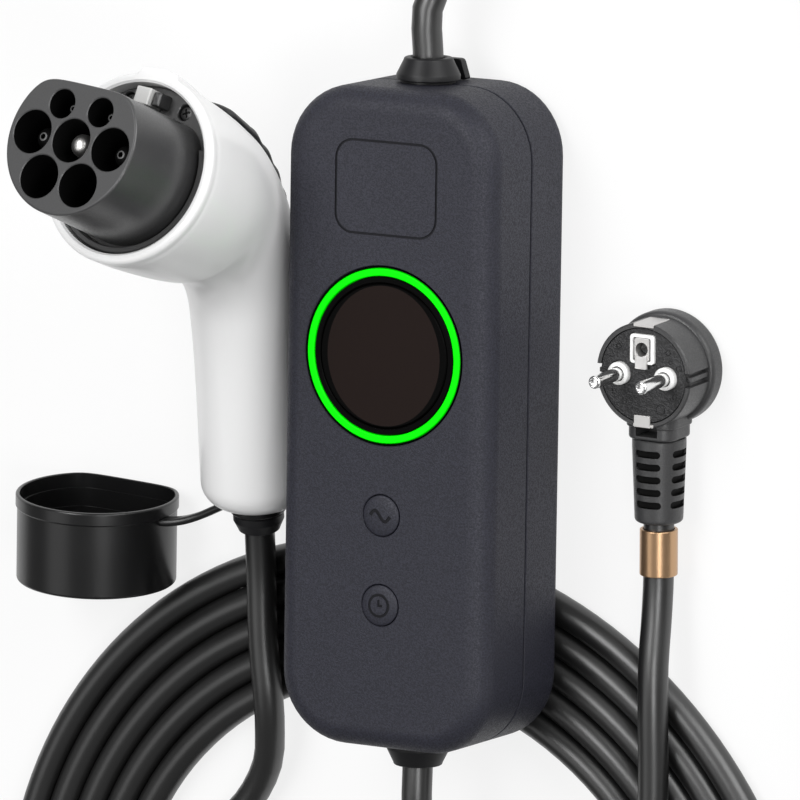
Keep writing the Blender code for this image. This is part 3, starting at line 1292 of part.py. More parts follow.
def plug_metal():
    """The pins with their collars, the earth frame with its sleeve, and the side clips."""
    root = PLUG_DEPTH - PLUG_FACE_THICKNESS - PIN_ROOT
    tip = PLUG_DEPTH + PIN_LENGTH
    pin = [
        (PIN_RADIUS * math.sin(step / 4 * math.pi / 2),
         tip - PIN_RADIUS * (1 - math.cos(step / 4 * math.pi / 2)))
        for step in range(5)
    ] + [(PIN_RADIUS, root), (0.0, root)]
    collar_floor = PLUG_DEPTH - PLUG_FACE_THICKNESS
    collar_top = PLUG_DEPTH + PIN_COLLAR_HEIGHT
    collar = [
        (PIN_RADIUS + GAP, collar_floor), (PIN_RADIUS + GAP, collar_top),
        (PIN_COLLAR_RADIUS - 0.0007, collar_top), (PIN_COLLAR_RADIUS, collar_top - 0.0007),
        (PIN_COLLAR_RADIUS, collar_floor),
    ]
    for side, sign in (("line", -1), ("neutral", 1)):
        at = (sign * PIN_SPACING / 2, 0, 0)
        turned(f"{side}_pin", pin, plug_frame, PIN_METAL, SMALL_SIDES, at=at)
        turned(f"{side}_pin_collar", collar, plug_frame, COLLAR_WHITE, POCKET_SIDES, closed=True,
               at=at)
    width, height = EARTH_FRAME_SIZE
    sleeve = EARTH_SOCKET_RADIUS + EARTH_SLEEVE_WALL
    frame_floor = PLUG_DEPTH - PLUG_FACE_THICKNESS
    frame_top = PLUG_DEPTH + EARTH_FRAME_RISE
    earth_frame = place("earth_frame",
                        block("earth_frame", (width, height, frame_top - frame_floor),
                              (0, 0, (frame_top + frame_floor) / 2), 0.0005),
                        plug_frame, COLLAR_WHITE, at=(0, EARTH_FRAME_PLACE, 0))
    hole = place("earth_frame_hole",
                 drum("earth_frame_hole", sleeve + GAP, frame_floor - 0.001, frame_top + 0.001,
                      POCKET_SIDES), plug_frame, at=(0, EARTH_FRAME_PLACE, 0))
    boolean(earth_frame, hole)
    sleeve_floor = frame_floor - EARTH_SLEEVE_DEPTH + GAP
    socket = [
        (0.0, frame_top - EARTH_SOCKET_DEPTH), (EARTH_SOCKET_RADIUS, frame_top - EARTH_SOCKET_DEPTH),
        (EARTH_SOCKET_RADIUS, frame_top), (sleeve, frame_top), (sleeve, sleeve_floor),
        (0.0, sleeve_floor),
    ]
    turned("earth_sleeve", socket, plug_frame, EARTH_METAL, POCKET_SIDES,
           at=(0, EARTH_FRAME_PLACE, 0))
    for side, sign in (("upper", 1), ("lower", -1)):
        name = f"{side}_earth_clip"
        middle = sign * (PLUG_RADIUS - GAP - CLIP_THICKNESS / 2)
        clip = block(name, (CLIP_WIDTH, CLIP_THICKNESS, CLIP_LENGTH),
                     (0, 0, PLUG_DEPTH - CLIP_LENGTH / 2), 0.0003)
        place(name, clip, plug_frame, EARTH_METAL, at=(0, middle, 0))


def plug_boot():
    """The bend relief: a tapered sleeve with rows of slots on its four sides."""
    start = PLUG_NECK_LENGTH + GAP
    end = start + BOOT_LENGTH
    wide, narrow = BOOT_RADII
    bore = LEAD_RADIUS + LEAD_FIT
    profile = [
        (0.0, end - LEAD_SEAT), (bore, end - LEAD_SEAT), (bore, end), (narrow - 0.0008, end),
        (narrow, end - 0.0008), (wide, start + 0.003), (wide, start), (0.0, start),
    ]
    boot = turned("plug_boot", profile, plug_frame, PLUG_BLACK, MEDIUM_SIDES,
                  at=(0, 0, BOOT_AXIS_HEIGHT), turn=(math.pi / 2, 0, 0))
    pitch = (BOOT_LENGTH - BOOT_PLAIN_END) / BOOT_ROWS
    slots = []
    for row in range(BOOT_ROWS):
        height = start + pitch * (row + 1)
        depth = wide + (narrow - wide) * (height - start) / BOOT_LENGTH - BOOT_SLOT_DEPTH
        reach = depth + wide / 2
        for x, y in ((1, 0), (-1, 0), (0, 1), (0, -1)):
            size = (wide if x else BOOT_SLOT_SPAN, wide if y else BOOT_SLOT_SPAN, BOOT_ROW_WIDTH)
            slots.append(block("slot", size, (x * reach, y * reach, height)))
    boolean(boot, place("boot_slots", gathered("boot_slots", slots), plug_frame,
                        at=(0, 0, BOOT_AXIS_HEIGHT), turn=(math.pi / 2, 0, 0)))
    shade_round(boot.data)


# Leads


def gland_lead_end(sign):
    """The lead's straight end in a control box gland: its outer point, then its inner one."""
    turn = Euler((-CASE_TILT, 0, CASE_YAW)).to_matrix()
    reach = CASE_HEIGHT / 2 + GLAND_HEIGHT - LEAD_SEAT + GAP
    return [
        turn @ Vector((0.0, sign * (reach + extra), CASE_SEAM)) + Vector((*CASE_PLACE, CASE_LIFT))
        for extra in (BEND_SPACING, 0.0)
    ]


def tail_lead_end():
    """The lead's straight end in the connector's gland: its inner point, then its outer one."""
    reach = RING_THICKNESS + 2 * GAP + TAIL_LENGTH - LEAD_SEAT + GAP
    return [
        Euler(GUN_TURN).to_matrix() @ (tail_place() + (reach + extra) * HANDLE_LINE)
        + Vector(GUN_PLACE)
        for extra in (0.0, BEND_SPACING / 3)
    ]


def boot_lead_end():
    """The lead's straight end in the plug's boot: its inner point, then its outer one."""
    reach = PLUG_NECK_LENGTH + GAP + BOOT_LENGTH - LEAD_SEAT + GAP
    return [
        Vector((PLUG_PLACE[0], PLUG_PLACE[1] - reach - extra, BOOT_AXIS_HEIGHT))
        for extra in (0.0, BEND_SPACING)
    ]


def plug_lead_line():
    """The points of the lead between the plug's boot and the lower gland."""
    return smooth_route((*boot_lead_end(), *PLUG_LEAD_ROUTE, *gland_lead_end(-1)), BEND_SPACING)


def coil_point(angle, reach):
    """A point on the coil's plan, whose lower half is flattened to an oval."""
    flat = COIL_INNER - COIL_FLATTENING if math.sin(angle) < 0 else COIL_INNER
    outward = Vector((flat * math.cos(angle), COIL_INNER * math.sin(angle))).normalized()
    inner = Vector((COIL_INNER * math.cos(angle), flat * math.sin(angle)))
    return inner + (reach - COIL_INNER) * outward


def leads():
    """The leads outside the coil, the coil's own outer form and the lead's band."""
    gun_route = smooth_route((*tail_lead_end(), *GUN_LEAD_ROUTE), BEND_SPACING)
    tube("ev_lead_gun", gun_route, LEAD_RADIUS, layout, LEAD_BLACK)
    box_route = smooth_route((*BOX_LEAD_ROUTE, *gland_lead_end(1)), BEND_SPACING)
    tube("ev_lead_box", box_route, LEAD_RADIUS, layout, LEAD_BLACK)
    tube("plug_lead", plug_lead_line(), LEAD_RADIUS, layout, LEAD_BLACK)
    edge = [
        (math.cos(angle), math.sin(angle))
        for angle in (math.pi / 2 - math.pi * step / 5 for step in range(6))
    ]
    profile = [(COIL_OUTER - LEAD_RADIUS + LEAD_RADIUS * across, LEAD_RADIUS * (1 + up))
               for across, up in edge]
    profile += [(COIL_INNER + LEAD_RADIUS - LEAD_RADIUS * across, LEAD_RADIUS * (1 - up))
                for across, up in edge]
    build = bmesh.new()
    loops = [
        [build.verts.new((*coil_point(2 * math.pi * side / COIL_SIDES, reach), height))
         for reach, height in profile]
        for side in range(COIL_SIDES)
    ]
    for first, second in zip(loops, loops[1:] + loops[:1]):
        for index in range(len(profile)):
            after = (index + 1) % len(profile)
            build.faces.new((first[index], first[after], second[after], second[index]))
    coil = place("ev_lead_coil", to_mesh("ev_lead_coil", build), layout, LEAD_BLACK,
                 at=(*COIL_CENTRE, GAP))
    shade_round(coil.data)


def cable_band():
    """The bronze band round the plug's lead."""
    first, second = plug_lead_line()[:2]
    middle = first.lerp(second, BAND_PLACE)
    line = (second - first).normalized()
    inner = LEAD_RADIUS + GAP
    outer = inner + BAND_WALL
    half = BAND_LENGTH / 2
    profile = [
        (inner, -half), (inner, half), (outer - 0.0004, half), (outer, half - 0.0004),
        (outer, 0.0004 - half), (outer - 0.0004, -half),
    ]
    turned("cable_band", profile, layout, BRONZE, MEDIUM_SIDES, closed=True, at=middle,
           turn=line.to_track_quat("Z", "Y").to_euler())


front_shell()
rear_shell()
case_seals()
case_screws()
glands()
hanging_lug()
display()
keys()
boards()
gun_shell()
contact_housing()
contacts()
connector_fittings()
thumb_pad()
gun_gland()
dust_cap()
plug_body()
plug_face()
plug_metal()
plug_boot()
leads()
cable_band()
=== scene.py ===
"""Looks of a portable charger for electric cars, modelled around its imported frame.

The control box, the vehicle connector with its cap, the mains plug and the leads
are classes. Each holds its sizes in metres, models its pieces with mesh operators
and dresses them with the finishes that stand at the top of the file.
"""

from __future__ import annotations

import json
import logging
import math
from dataclasses import dataclass, field
from enum import Enum
from typing import Callable, Iterable, Sequence

import bmesh
import bpy
from mathutils import Euler, Matrix, Vector

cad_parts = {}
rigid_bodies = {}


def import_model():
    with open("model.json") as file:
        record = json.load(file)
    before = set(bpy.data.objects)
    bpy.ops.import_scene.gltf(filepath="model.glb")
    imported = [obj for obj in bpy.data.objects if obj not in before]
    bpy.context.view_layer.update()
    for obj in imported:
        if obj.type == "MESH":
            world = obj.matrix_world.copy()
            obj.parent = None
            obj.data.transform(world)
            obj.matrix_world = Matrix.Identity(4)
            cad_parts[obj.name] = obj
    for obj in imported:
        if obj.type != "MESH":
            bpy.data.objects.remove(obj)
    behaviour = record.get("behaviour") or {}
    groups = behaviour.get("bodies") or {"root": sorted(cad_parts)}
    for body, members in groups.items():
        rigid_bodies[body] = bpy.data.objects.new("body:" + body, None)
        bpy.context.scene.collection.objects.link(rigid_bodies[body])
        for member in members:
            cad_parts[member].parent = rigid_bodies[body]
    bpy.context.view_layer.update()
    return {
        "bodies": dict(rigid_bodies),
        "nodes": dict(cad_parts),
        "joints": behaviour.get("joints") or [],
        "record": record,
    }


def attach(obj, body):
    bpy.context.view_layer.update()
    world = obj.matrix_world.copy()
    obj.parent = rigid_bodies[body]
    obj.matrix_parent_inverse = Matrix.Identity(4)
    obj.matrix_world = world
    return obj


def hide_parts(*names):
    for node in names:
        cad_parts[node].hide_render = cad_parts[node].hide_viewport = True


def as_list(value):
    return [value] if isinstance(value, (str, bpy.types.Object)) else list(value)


LOG = logging.getLogger("portable_ev_charger")

# Where the layout's own zero lies in the frame
LAYOUT = Vector((0.03554, -0.00594, 0.0))
# The clearance between pieces, and how far a cutter reaches past what it cuts
GAP = 0.0003
PAST = 0.001
LEAD_RADIUS = 0.0055
LEAD_BORE = LEAD_RADIUS + 0.0008
LEAD_SEAT = 0.004
QUARTER = math.pi / 2
TURN = 2 * math.pi

Colour = tuple[float, float, float]
Point = Sequence[float]


class Body(Enum):
    """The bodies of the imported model."""

    CHARGER = "charger"
    CURRENT_KEY = "current_key_body"
    TIMER_KEY = "timer_key_body"


def linked(name: str, data: bpy.types.ID) -> bpy.types.Object:
    """Add an object to the scene.

    Args:
        name: The object's name.
        data: Its mesh, curve, lamp or camera.

    Returns:
        The object.
    """
    item = bpy.data.objects.new(name, data)
    bpy.context.scene.collection.objects.link(item)
    return item


def posed(place: Point, turn: Point) -> Matrix:
    """The frame at a place in the layout, turned by three angles."""
    return Matrix.Translation(LAYOUT + Vector(place)) @ Euler(turn).to_matrix().to_4x4()


# Shader building


class Shade:
    """One output of a shader node, on which Python's arithmetic adds Math nodes."""

    def __init__(self, recipe: Recipe, socket: bpy.types.NodeSocket) -> None:
        """Wrap an output socket of a recipe's tree."""
        self.recipe = recipe
        self.socket = socket

    def _joined(self, operation: str, first: Shade | float, second: Shade | float) -> Shade:
        """The result of a new Math node."""
        return self.recipe.node("ShaderNodeMath", {"operation": operation}, {0: first, 1: second})

    def __add__(self, other: Shade | float) -> Shade:
        """Sum."""
        return self._joined("ADD", self, other)

    def __radd__(self, other: float) -> Shade:
        """Sum with a number on the left."""
        return self._joined("ADD", other, self)

    def __sub__(self, other: Shade | float) -> Shade:
        """Difference."""
        return self._joined("SUBTRACT", self, other)

    def __rsub__(self, other: float) -> Shade:
        """Difference from a number on the left."""
        return self._joined("SUBTRACT", other, self)

    def __mul__(self, other: Shade | float) -> Shade:
        """Product."""
        return self._joined("MULTIPLY", self, other)

    def __rmul__(self, other: float) -> Shade:
        """Product with a number on the left."""
        return self._joined("MULTIPLY", other, self)

    def step(self, low: float, high: float) -> Shade:
        """A smooth step from 0 below the low value to 1 above the high one."""
        settings = {"interpolation_type": "SMOOTHSTEP"}
        return self.recipe.node("ShaderNodeMapRange", settings, {0: self, 1: low, 2: high})


class Recipe:
    """The node tree of one material, with its Principled shader."""

    def __init__(self, name: str) -> None:
        """Start a material.

        Args:
            name: The material's name.
        """
        self.material = bpy.data.materials.new(name)
        self.material.use_nodes = True
        self.tree = self.material.node_tree
        self.shader = self.tree.nodes["Principled BSDF"]

    def plug(self, socket: bpy.types.NodeSocket, value: Shade | float | Sequence[float]) -> None:
        """Give an input socket a value or a link.

        Args:
            socket: The input socket.
            value: A number, a colour, a vector or another node's output.
        """
        if isinstance(value, Shade):
            self.tree.links.new(value.socket, socket)
            return
        if isinstance(value, (tuple, list, Vector)) and len(value) == 3 and socket.type == "RGBA":
            value = (*value, 1.0)
        socket.default_value = value

    def node(self, kind: str, settings: dict[str, object] | None = None,
             inputs: dict[int | str, object] | None = None, output: int | str = 0) -> Shade:
        """Add a node: first its settings, then what its sockets hold.

        Args:
            kind: The node's type.
            settings: Its own settings by name.
            inputs: Values or links by the socket's index or name.
            output: Which output is wanted.

        Returns:
            The wanted output.
        """
        made = self.tree.nodes.new(kind)
        for name, value in (settings or {}).items():
            setattr(made, name, value)
        for key, value in (inputs or {}).items():
            self.plug(made.inputs[key], value)
        return Shade(self, made.outputs[output])

    def set(self, **inputs: object) -> None:
        """Set the shader's own sockets, named with underscores for spaces."""
        for name, value in inputs.items():
            self.plug(self.shader.inputs[name.replace("_", " ")], value)

    def place(self) -> Shade:
        """The point in the object's own coordinates."""
        return self.node("ShaderNodeTexCoord", output="Object")

    def noise(self, scale: float, detail: float = 2.0, stretch: Point = (1.0, 1.0, 1.0)) -> Shade:
        """Noise over the object's coordinates, from 0 to 1.

        Args:
            scale: Features to a metre.
            detail: Octaves of finer noise.
            stretch: How much the pattern is squeezed along each axis.

        Returns:
            The noise's value.
        """
        vector = self.place()
        if tuple(stretch) != (1.0, 1.0, 1.0):
            vector = self.node("ShaderNodeMapping", {}, {"Vector": vector, "Scale": stretch})
        return self.node("ShaderNodeTexNoise", {}, {"Vector": vector, "Scale": scale,
                                                    "Detail": detail}, output="Fac")

    def mixed(self, factor: Shade | float, first: Shade | Colour, second: Shade | Colour) -> Shade:
        """The mix of two colours, where the factor is the second one's share."""
        inputs = {"Factor": factor, 6: first, 7: second}
        return self.node("ShaderNodeMix", {"data_type": "RGBA"}, inputs, 2)

    def bumped(self, height: Shade, depth: float) -> None:
        """Raise the surface's shading by a map from 0 to 1, where 1 is so many metres."""
        inputs = {"Height": height, "Distance": depth, "Strength": 1.0}
        self.set(Normal=self.node("ShaderNodeBump", {}, inputs))


def tinted(colour: Colour, share: float) -> Colour:
    """A colour made lighter or darker by a share."""
    return tuple(min(1.0, part * share) for part in colour)


# Finishes


@dataclass(frozen=True)
class Finish:
    """A surface of one colour with its own fine grain."""

    name: str
    slot: str
    colour: Colour
    roughness: float = 0.5
    metallic: float = 0.0
    coat: float = 0.0
    specular: float = 0.5
    spread: float = 0.12
    grain: float = 900.0
    grain_depth: float = 0.00003
    cloud: float = 35.0

    def material(self) -> bpy.types.Material:
        """The finish's material, made once and then shared."""
        known = bpy.data.materials.get(self.name)
        return known or self.made().material

    def pattern(self, recipe: Recipe) -> tuple[Shade, Shade, Shade]:
        """Maps from 0 to 1 of the surface's paleness, its dullness and its height."""
        clouds, fine = recipe.noise(self.cloud, 3.0), recipe.noise(self.grain, 2.0)
        return clouds * 0.6 + fine * 0.4, clouds, fine

    def made(self) -> Recipe:
        """Mix the finish from its colour and its pattern.

        Returns:
            The recipe with its material.
        """
        recipe = Recipe(self.name)
        pale, dull, height = self.pattern(recipe)
        recipe.set(
            Base_Color=recipe.mixed(pale, tinted(self.colour, 1.0 - self.spread),
                                    tinted(self.colour, 1.0 + self.spread)),
            Roughness=self.roughness + (dull - 0.5) * (0.35 * self.roughness),
            Metallic=self.metallic,
            Coat_Weight=self.coat,
            Coat_Roughness=0.08,
            Specular_IOR_Level=self.specular,
        )
        recipe.bumped(height, self.grain_depth)
        return recipe


@dataclass(frozen=True)
class SparkedPlastic(Finish):
    """Moulded plastic with a spark-eroded grain: fine pale specks on a matt ground."""

    cell: float = 2900.0

    def pattern(self, recipe: Recipe) -> tuple[Shade, Shade, Shade]:
        """Lay out the grain: fine specks over slightly larger ones.

        Args:
            recipe: The recipe to work in.

        Returns:
            Maps from 0 to 1 of its paleness, its dullness and its height.
        """
        fine, coarse = recipe.noise(self.cell, 1.0), recipe.noise(self.cell * 0.45, 1.0)
        peaks = (fine * 0.55 + coarse * 0.45).step(0.40, 0.62)
        return peaks * 0.85 + recipe.noise(self.cloud, 3.0) * 0.15, 1.0 - peaks, peaks


@dataclass(frozen=True)
class WornMetal(Finish):
    """Plated or bare metal with fine draw lines along one axis."""

    lines: Point = (1.0, 1.0, 0.04)

    def pattern(self, recipe: Recipe) -> tuple[Shade, Shade, Shade]:
        """The same maps for smears and draw lines."""
        drawn, smears = recipe.noise(self.grain, 2.0, self.lines), recipe.noise(self.cloud, 4.0)
        return smears, drawn * 0.6 + smears * 0.4, drawn


@dataclass(frozen=True)
class LitGuide(Finish):
    """A light guide that glows in its own colour."""

    glow: float = 1.0

    def made(self) -> Recipe:
        """Mix the lit plastic, a little brighter where the light is fed in.

        Returns:
            The recipe with its material.
        """
        recipe = super().made()
        feed = recipe.noise(self.cloud, 1.0)
        recipe.set(
            Emission_Color=recipe.mixed(feed, tinted(self.colour, 0.94), self.colour),
            Emission_Strength=self.glow,
        )
        return recipe


class Finishes:
    """The charger's finishes, by the places that wear them."""

    CASE = SparkedPlastic("slate_grained_plastic_look", "slate_grained_plastic",
                          (0.0170, 0.0174, 0.0265), 0.55, specular=0.35, spread=0.34,
                          grain_depth=0.00004)
    # Painted shade: a darker slate for the faces inside the badge groove.
    GROOVE = Finish("case_groove_painted_shade_look", "slate_grained_plastic", (0.010, 0.010, 0.013), 0.7,
                    specular=0.2, grain_depth=0.00001)
    SIGN = Finish("key_sign_look", "slate_grained_plastic", (0.006, 0.006, 0.008), 0.7,
                  specular=0.2, grain_depth=0.000004)
    RUBBER = Finish("black_rubber_look", "black_rubber", (0.006, 0.006, 0.007), 0.46,
                    specular=0.35, spread=0.2, grain_depth=0.00002)
    CAP = Finish("cap_rubber_look", "black_rubber", (0.005, 0.005, 0.0052), 0.30, spread=0.15,
                 grain=600.0, grain_depth=0.000012)
    BEZEL = Finish("black_gloss_look", "black_gloss_plastic", (0.0008, 0.0008, 0.0008), 0.45,
                   specular=0.04, grain_depth=0.000004)
    WINDOW = Finish("smoked_window_look", "smoked_window", (0.0125, 0.0078, 0.0068), 0.4,
                    specular=0.06, spread=0.03, grain_depth=0.000002)
    GUIDE = LitGuide("green_light_guide_look", "green_light_guide", (0.0, 0.80, 0.0), 0.45,
                     specular=0.1, grain_depth=0.00001, glow=0.22)
    WHITE = Finish("white_gloss_look", "white_gloss_plastic", (0.77, 0.77, 0.77), 0.32,
                   coat=0.2, spread=0.005, grain=500.0, grain_depth=0.000003, cloud=14.0)
    # Painted light: the housing's grey comes in two copies, darker on the flanks and lighter on the
    # nose's front face.
    HOUSING = SparkedPlastic("grey_contact_housing_look", "grey_contact_housing",
                             (0.028, 0.028, 0.0285), 0.34, specular=1.0, spread=0.06,
                             grain_depth=0.000006)
    NOSE_FACE_LIT = SparkedPlastic("nose_face_painted_light_look", "grey_contact_housing",
                               (0.047, 0.047, 0.048), 0.42, spread=0.06, grain_depth=0.000006)
    # Painted shade: near black for the faces inside the nose's ways, and for the contact tips deep
    # in them.
    WAY = Finish("way_painted_shade_look", "grey_contact_housing", (0.002, 0.002, 0.002), 0.6,
                 specular=0.1, grain_depth=0.00001)
    CONTACT = WornMetal("silvered_contact_look", "silvered_contact", (0.86, 0.85, 0.83), 0.34,
                        1.0, spread=0.05, grain_depth=0.000004)
    # Painted shade: a darkened copy of the silvered contact, for the ring round the hole of the
    # deeper contact tips.
    TIP_SHADE = WornMetal("tip_painted_shade_look", "silvered_contact", (0.13, 0.13, 0.13), 0.55, 0.4,
                    grain_depth=0.000004)
    CATCH = WornMetal("pale_catch_look", "satin_earth_metal", (0.58, 0.58, 0.57), 0.40, 0.15,
                      spread=0.06, grain_depth=0.000006)
    PIN = WornMetal("nickel_pin_look", "nickel_pin", (0.86, 0.86, 0.86), 0.14, 1.0, spread=0.05,
                    grain_depth=0.0000003)
    EARTH = WornMetal("satin_earth_metal_look", "satin_earth_metal", (0.62, 0.61, 0.60), 0.36,
                      0.8, grain_depth=0.000006)
    COLLAR = Finish("white_insulator_look", "white_insulator", (0.86, 0.86, 0.85), 0.38,
                    spread=0.02, grain_depth=0.00001)
    PLUG = SparkedPlastic("charcoal_plug_look", "charcoal_plug_plastic", (0.040, 0.040, 0.041),
                          0.38, spread=0.15, grain_depth=0.00002)
    PLUG_FACE = SparkedPlastic("rough_plug_face_look", "charcoal_plug_plastic",
                               (0.016, 0.016, 0.017), 0.5, spread=0.5, grain_depth=0.00012,
                               cell=1900.0)
    # Painted shade: near black for the faces inside the boot's slots.
    SLOT = Finish("boot_slot_painted_shade_look", "charcoal_plug_plastic", (0.002, 0.002, 0.002), 0.6,
                  specular=0.1, grain_depth=0.00001)
    JACKET = Finish("black_lead_jacket_look", "black_lead_jacket", (0.004, 0.004, 0.004), 0.37,
                    specular=1.0, spread=0.2, grain=450.0, grain_depth=0.000003)
    BRONZE = WornMetal("bronze_band_look", "bronze_band", (0.52, 0.33, 0.19), 0.30, 0.9,
                       spread=0.05, grain_depth=0.000002)
    BOARD = Finish("circuit_board_look", "circuit_board", (0.02, 0.12, 0.045), 0.42, coat=0.3)
    RELAY = Finish("relay_case_look", "relay_case", (0.03, 0.08, 0.26), 0.4)
    TAPE = Finish("transformer_tape_look", "transformer_tape", (0.6, 0.42, 0.05), 0.5)
    TERMINAL = Finish("terminal_housing_look", "terminal_housing", (0.3, 0.32, 0.33), 0.5)
    STEEL = WornMetal("screw_steel_look", "screw_steel", (0.42, 0.42, 0.43), 0.34, 1.0,
                      grain_depth=0.000006)
    DARK_STEEL = WornMetal("dark_screw_look", "screw_steel", (0.06, 0.06, 0.06), 0.4, 0.7,
                           grain_depth=0.000006)

    @classmethod
    def by_slot(cls) -> dict[str, Finish]:
        """Find the finish of each material slot in the record.

        Returns:
            The first finish of each slot, by the slot's name.
        """
        found: dict[str, Finish] = {}
        for value in vars(cls).values():
            if isinstance(value, Finish):
                found.setdefault(value.slot, value)
        return found


# Stage


@dataclass
class Studio:
    """The pale floor, the soft lights and the camera at the photograph's angle."""

    right: Point = (0.8616, 0.0, -0.5075)
    towards: Point = (0.4953, 0.2181, 0.8408)
    distance: float = 4.029
    lens: float = 496.8
    sensor: float = 36.0
    floor_size: float = 30.0
    floor_colour: Colour = (0.84, 0.84, 0.84)
    floor_white: float = 0.80
    sky: float = 0.20
    lamp_distance: float = 1.7
    lamps: tuple[tuple[str, Point, Point, float], ...] = (
        ("left_strip", (-0.62, 0.30, 0.78), (0.6, 1.6), 22.0),
        ("right_strip", (0.52, 0.42, 0.78), (0.9, 1.4), 19.0),
        ("front_fill", (0.12, -0.28, 1.0), (0.5, 0.5), 8.0),
        ("coil_sheen", (-0.853, -0.316, 0.414), (0.9, 0.9), 2.4),
    )

    def axes(self) -> tuple[Vector, Vector, Vector]:
        """The camera's right, up and backward directions."""
        right, towards = Vector(self.right), Vector(self.towards)
        return right, towards.cross(right), towards

    def camera(self) -> None:
        """Set the camera up."""
        lens = bpy.data.cameras.new("photo_camera")
        lens.sensor_width = self.sensor
        lens.lens = self.lens
        lens.clip_end = 100.0
        item = linked("photo_camera", lens)
        turn = Matrix(self.axes()).transposed().to_4x4()
        item.matrix_world = Matrix.Translation(LAYOUT + Vector(self.towards) * self.distance) @ turn
        bpy.context.scene.camera = item

    def lamp(self, name: str, aim: Point, size: Point, power: float) -> None:
        """Hang a soft rectangular lamp that faces the charger.

        Args:
            name: The lamp's name.
            aim: Its direction from the charger, along the camera's right, up and back.
            size: Its width and height.
            power: Its power in watts.
        """
        lamp = bpy.data.lights.new(name, "AREA")
        lamp.shape = "RECTANGLE"
        lamp.size, lamp.size_y = size
        lamp.energy = power
        item = linked(name, lamp)
        line = sum((part * axis for part, axis in zip(aim, self.axes())), Vector()).normalized()
        item.location = LAYOUT + line * self.lamp_distance
        item.rotation_euler = line.to_track_quat("Z", "Y").to_euler()

    def seen_white(self, recipe: Recipe) -> Shade:
        """Tell what the camera, a mirror or glass sees from what only lights.

        Args:
            recipe: The recipe to work in.

        Returns:
            1 for what is seen, else 0.
        """
        seen = [recipe.node("ShaderNodeLightPath", output=name) for name in
                ("Is Camera Ray", "Is Glossy Ray", "Is Transmission Ray")]
        settings = {"operation": "MAXIMUM"}
        pair = recipe.node("ShaderNodeMath", settings, {0: seen[0], 1: seen[1]})
        return recipe.node("ShaderNodeMath", settings, {0: pair, 1: seen[2]})

    def floor(self) -> None:
        """Lay the pale floor, which keeps the charger's shadow."""
        mesh = bmesh.new()
        bmesh.ops.create_grid(mesh, x_segments=1, y_segments=1, size=self.floor_size / 2)
        data = bpy.data.meshes.new("floor")
        mesh.to_mesh(data)
        mesh.free()
        floor = linked("floor", data)
        recipe = Recipe("pale_floor")
        recipe.set(Base_Color=self.floor_colour, Roughness=0.9, Specular_IOR_Level=0.0)
        glow = recipe.node("ShaderNodeEmission", {}, {"Color": (1.0, 1.0, 1.0), "Strength": 1.0})
        share = self.seen_white(recipe) * self.floor_white
        mixed = recipe.node("ShaderNodeMixShader", {}, {
            0: share, 1: Shade(recipe, recipe.shader.outputs[0]), 2: glow})
        recipe.tree.links.new(mixed.socket,
                              recipe.tree.nodes["Material Output"].inputs["Surface"])
        data.materials.append(recipe.material)

    def world(self) -> None:
        """Light the room evenly, white where it is seen."""
        world = bpy.data.worlds.new("studio")
        bpy.context.scene.world = world
        world.use_nodes = True
        tree = world.node_tree
        back = tree.nodes["Background"]
        back.inputs["Color"].default_value = (1.0, 1.0, 1.0, 1.0)
        path = tree.nodes.new("ShaderNodeLightPath")
        seen = tree.nodes.new("ShaderNodeMapRange")
        seen.inputs["To Min"].default_value = self.sky
        seen.inputs["To Max"].default_value = 1.0
        tree.links.new(path.outputs["Is Camera Ray"], seen.inputs["Value"])
        tree.links.new(seen.outputs["Result"], back.inputs["Strength"])

    def build(self) -> None:
        """Set the whole stage."""
        bpy.context.scene.view_settings.view_transform = "Standard"
        self.world()
        self.floor()
        self.camera()
        for name, aim, size, power in self.lamps:
            self.lamp(name, aim, size, power)
        LOG.info("studio set")


# Modelling


def upright(edge: bmesh.types.BMEdge) -> bool:
    """Whether an edge stands along Z."""
    first, second = (vert.co for vert in edge.verts)
    return (first.xy - second.xy).length < 1e-6 < abs(first.z - second.z)


def at_height(height: float) -> Callable[[bmesh.types.BMEdge], bool]:
    """A test for edges that lie at one height."""
    return lambda edge: all(abs(vert.co.z - height) < 1e-6 for vert in edge.verts)


def arc(middle: Point, radius: float, low: float, high: float,
        steps: int = 6) -> list[tuple[float, float]]:
    """Points along an arc of a profile, from a low angle to a high one.

    Args:
        middle: The arc's middle, a radius and a height.
        radius: The arc's radius.
        low: The angle it starts at, from the axis.
        high: The angle it ends at.
        steps: How many steps it takes.

    Returns:
        The points, each a radius and a height.
    """
    turns = [low + (high - low) * step / steps for step in range(steps + 1)]
    return [(middle[0] + radius * math.sin(turn), middle[1] + radius * math.cos(turn))
            for turn in turns]


def rim(radius: float, top: float, edge: float) -> list[tuple[float, float]]:
    """The round of a profile's upper outer corner, from its top to its side."""
    return arc((radius - edge, top - edge), edge, 0.0, QUARTER)


def foot_round(radius: float, half: float, edge: float) -> list[tuple[float, float]]:
    """The round of a profile's lower outer corner, as far below zero as a half height."""
    return arc((radius - edge, edge - half), edge, QUARTER, math.pi)


def lead_mouth(top: float, edge: float) -> list[tuple[float, float]]:
    """The profile of a lead's seat and of its mouth with a softened edge."""
    return [(0.0, top - LEAD_SEAT), (LEAD_BORE, top - LEAD_SEAT), (LEAD_BORE, top - edge),
            (LEAD_BORE + edge, top)]


def tube_curve(name: str, points: Sequence[Vector], radius: float,
               resolution: int) -> bpy.types.Object:
    """Lay a round tube with closed ends along a line.

    Args:
        name: The object's name.
        points: The line's points.
        radius: The tube's radius.
        resolution: The curve's bevel resolution.

    Returns:
        The curve's object.
    """
    curve = bpy.data.curves.new(name, "CURVE")
    curve.dimensions = "3D"
    curve.bevel_depth, curve.bevel_resolution = radius, resolution
    curve.use_fill_caps = True
    spline = curve.splines.new("POLY")
    spline.points.add(len(points) - 1)
    for slot, point in zip(spline.points, points):
        slot.co = (*point, 1.0)
    return linked(name, curve)


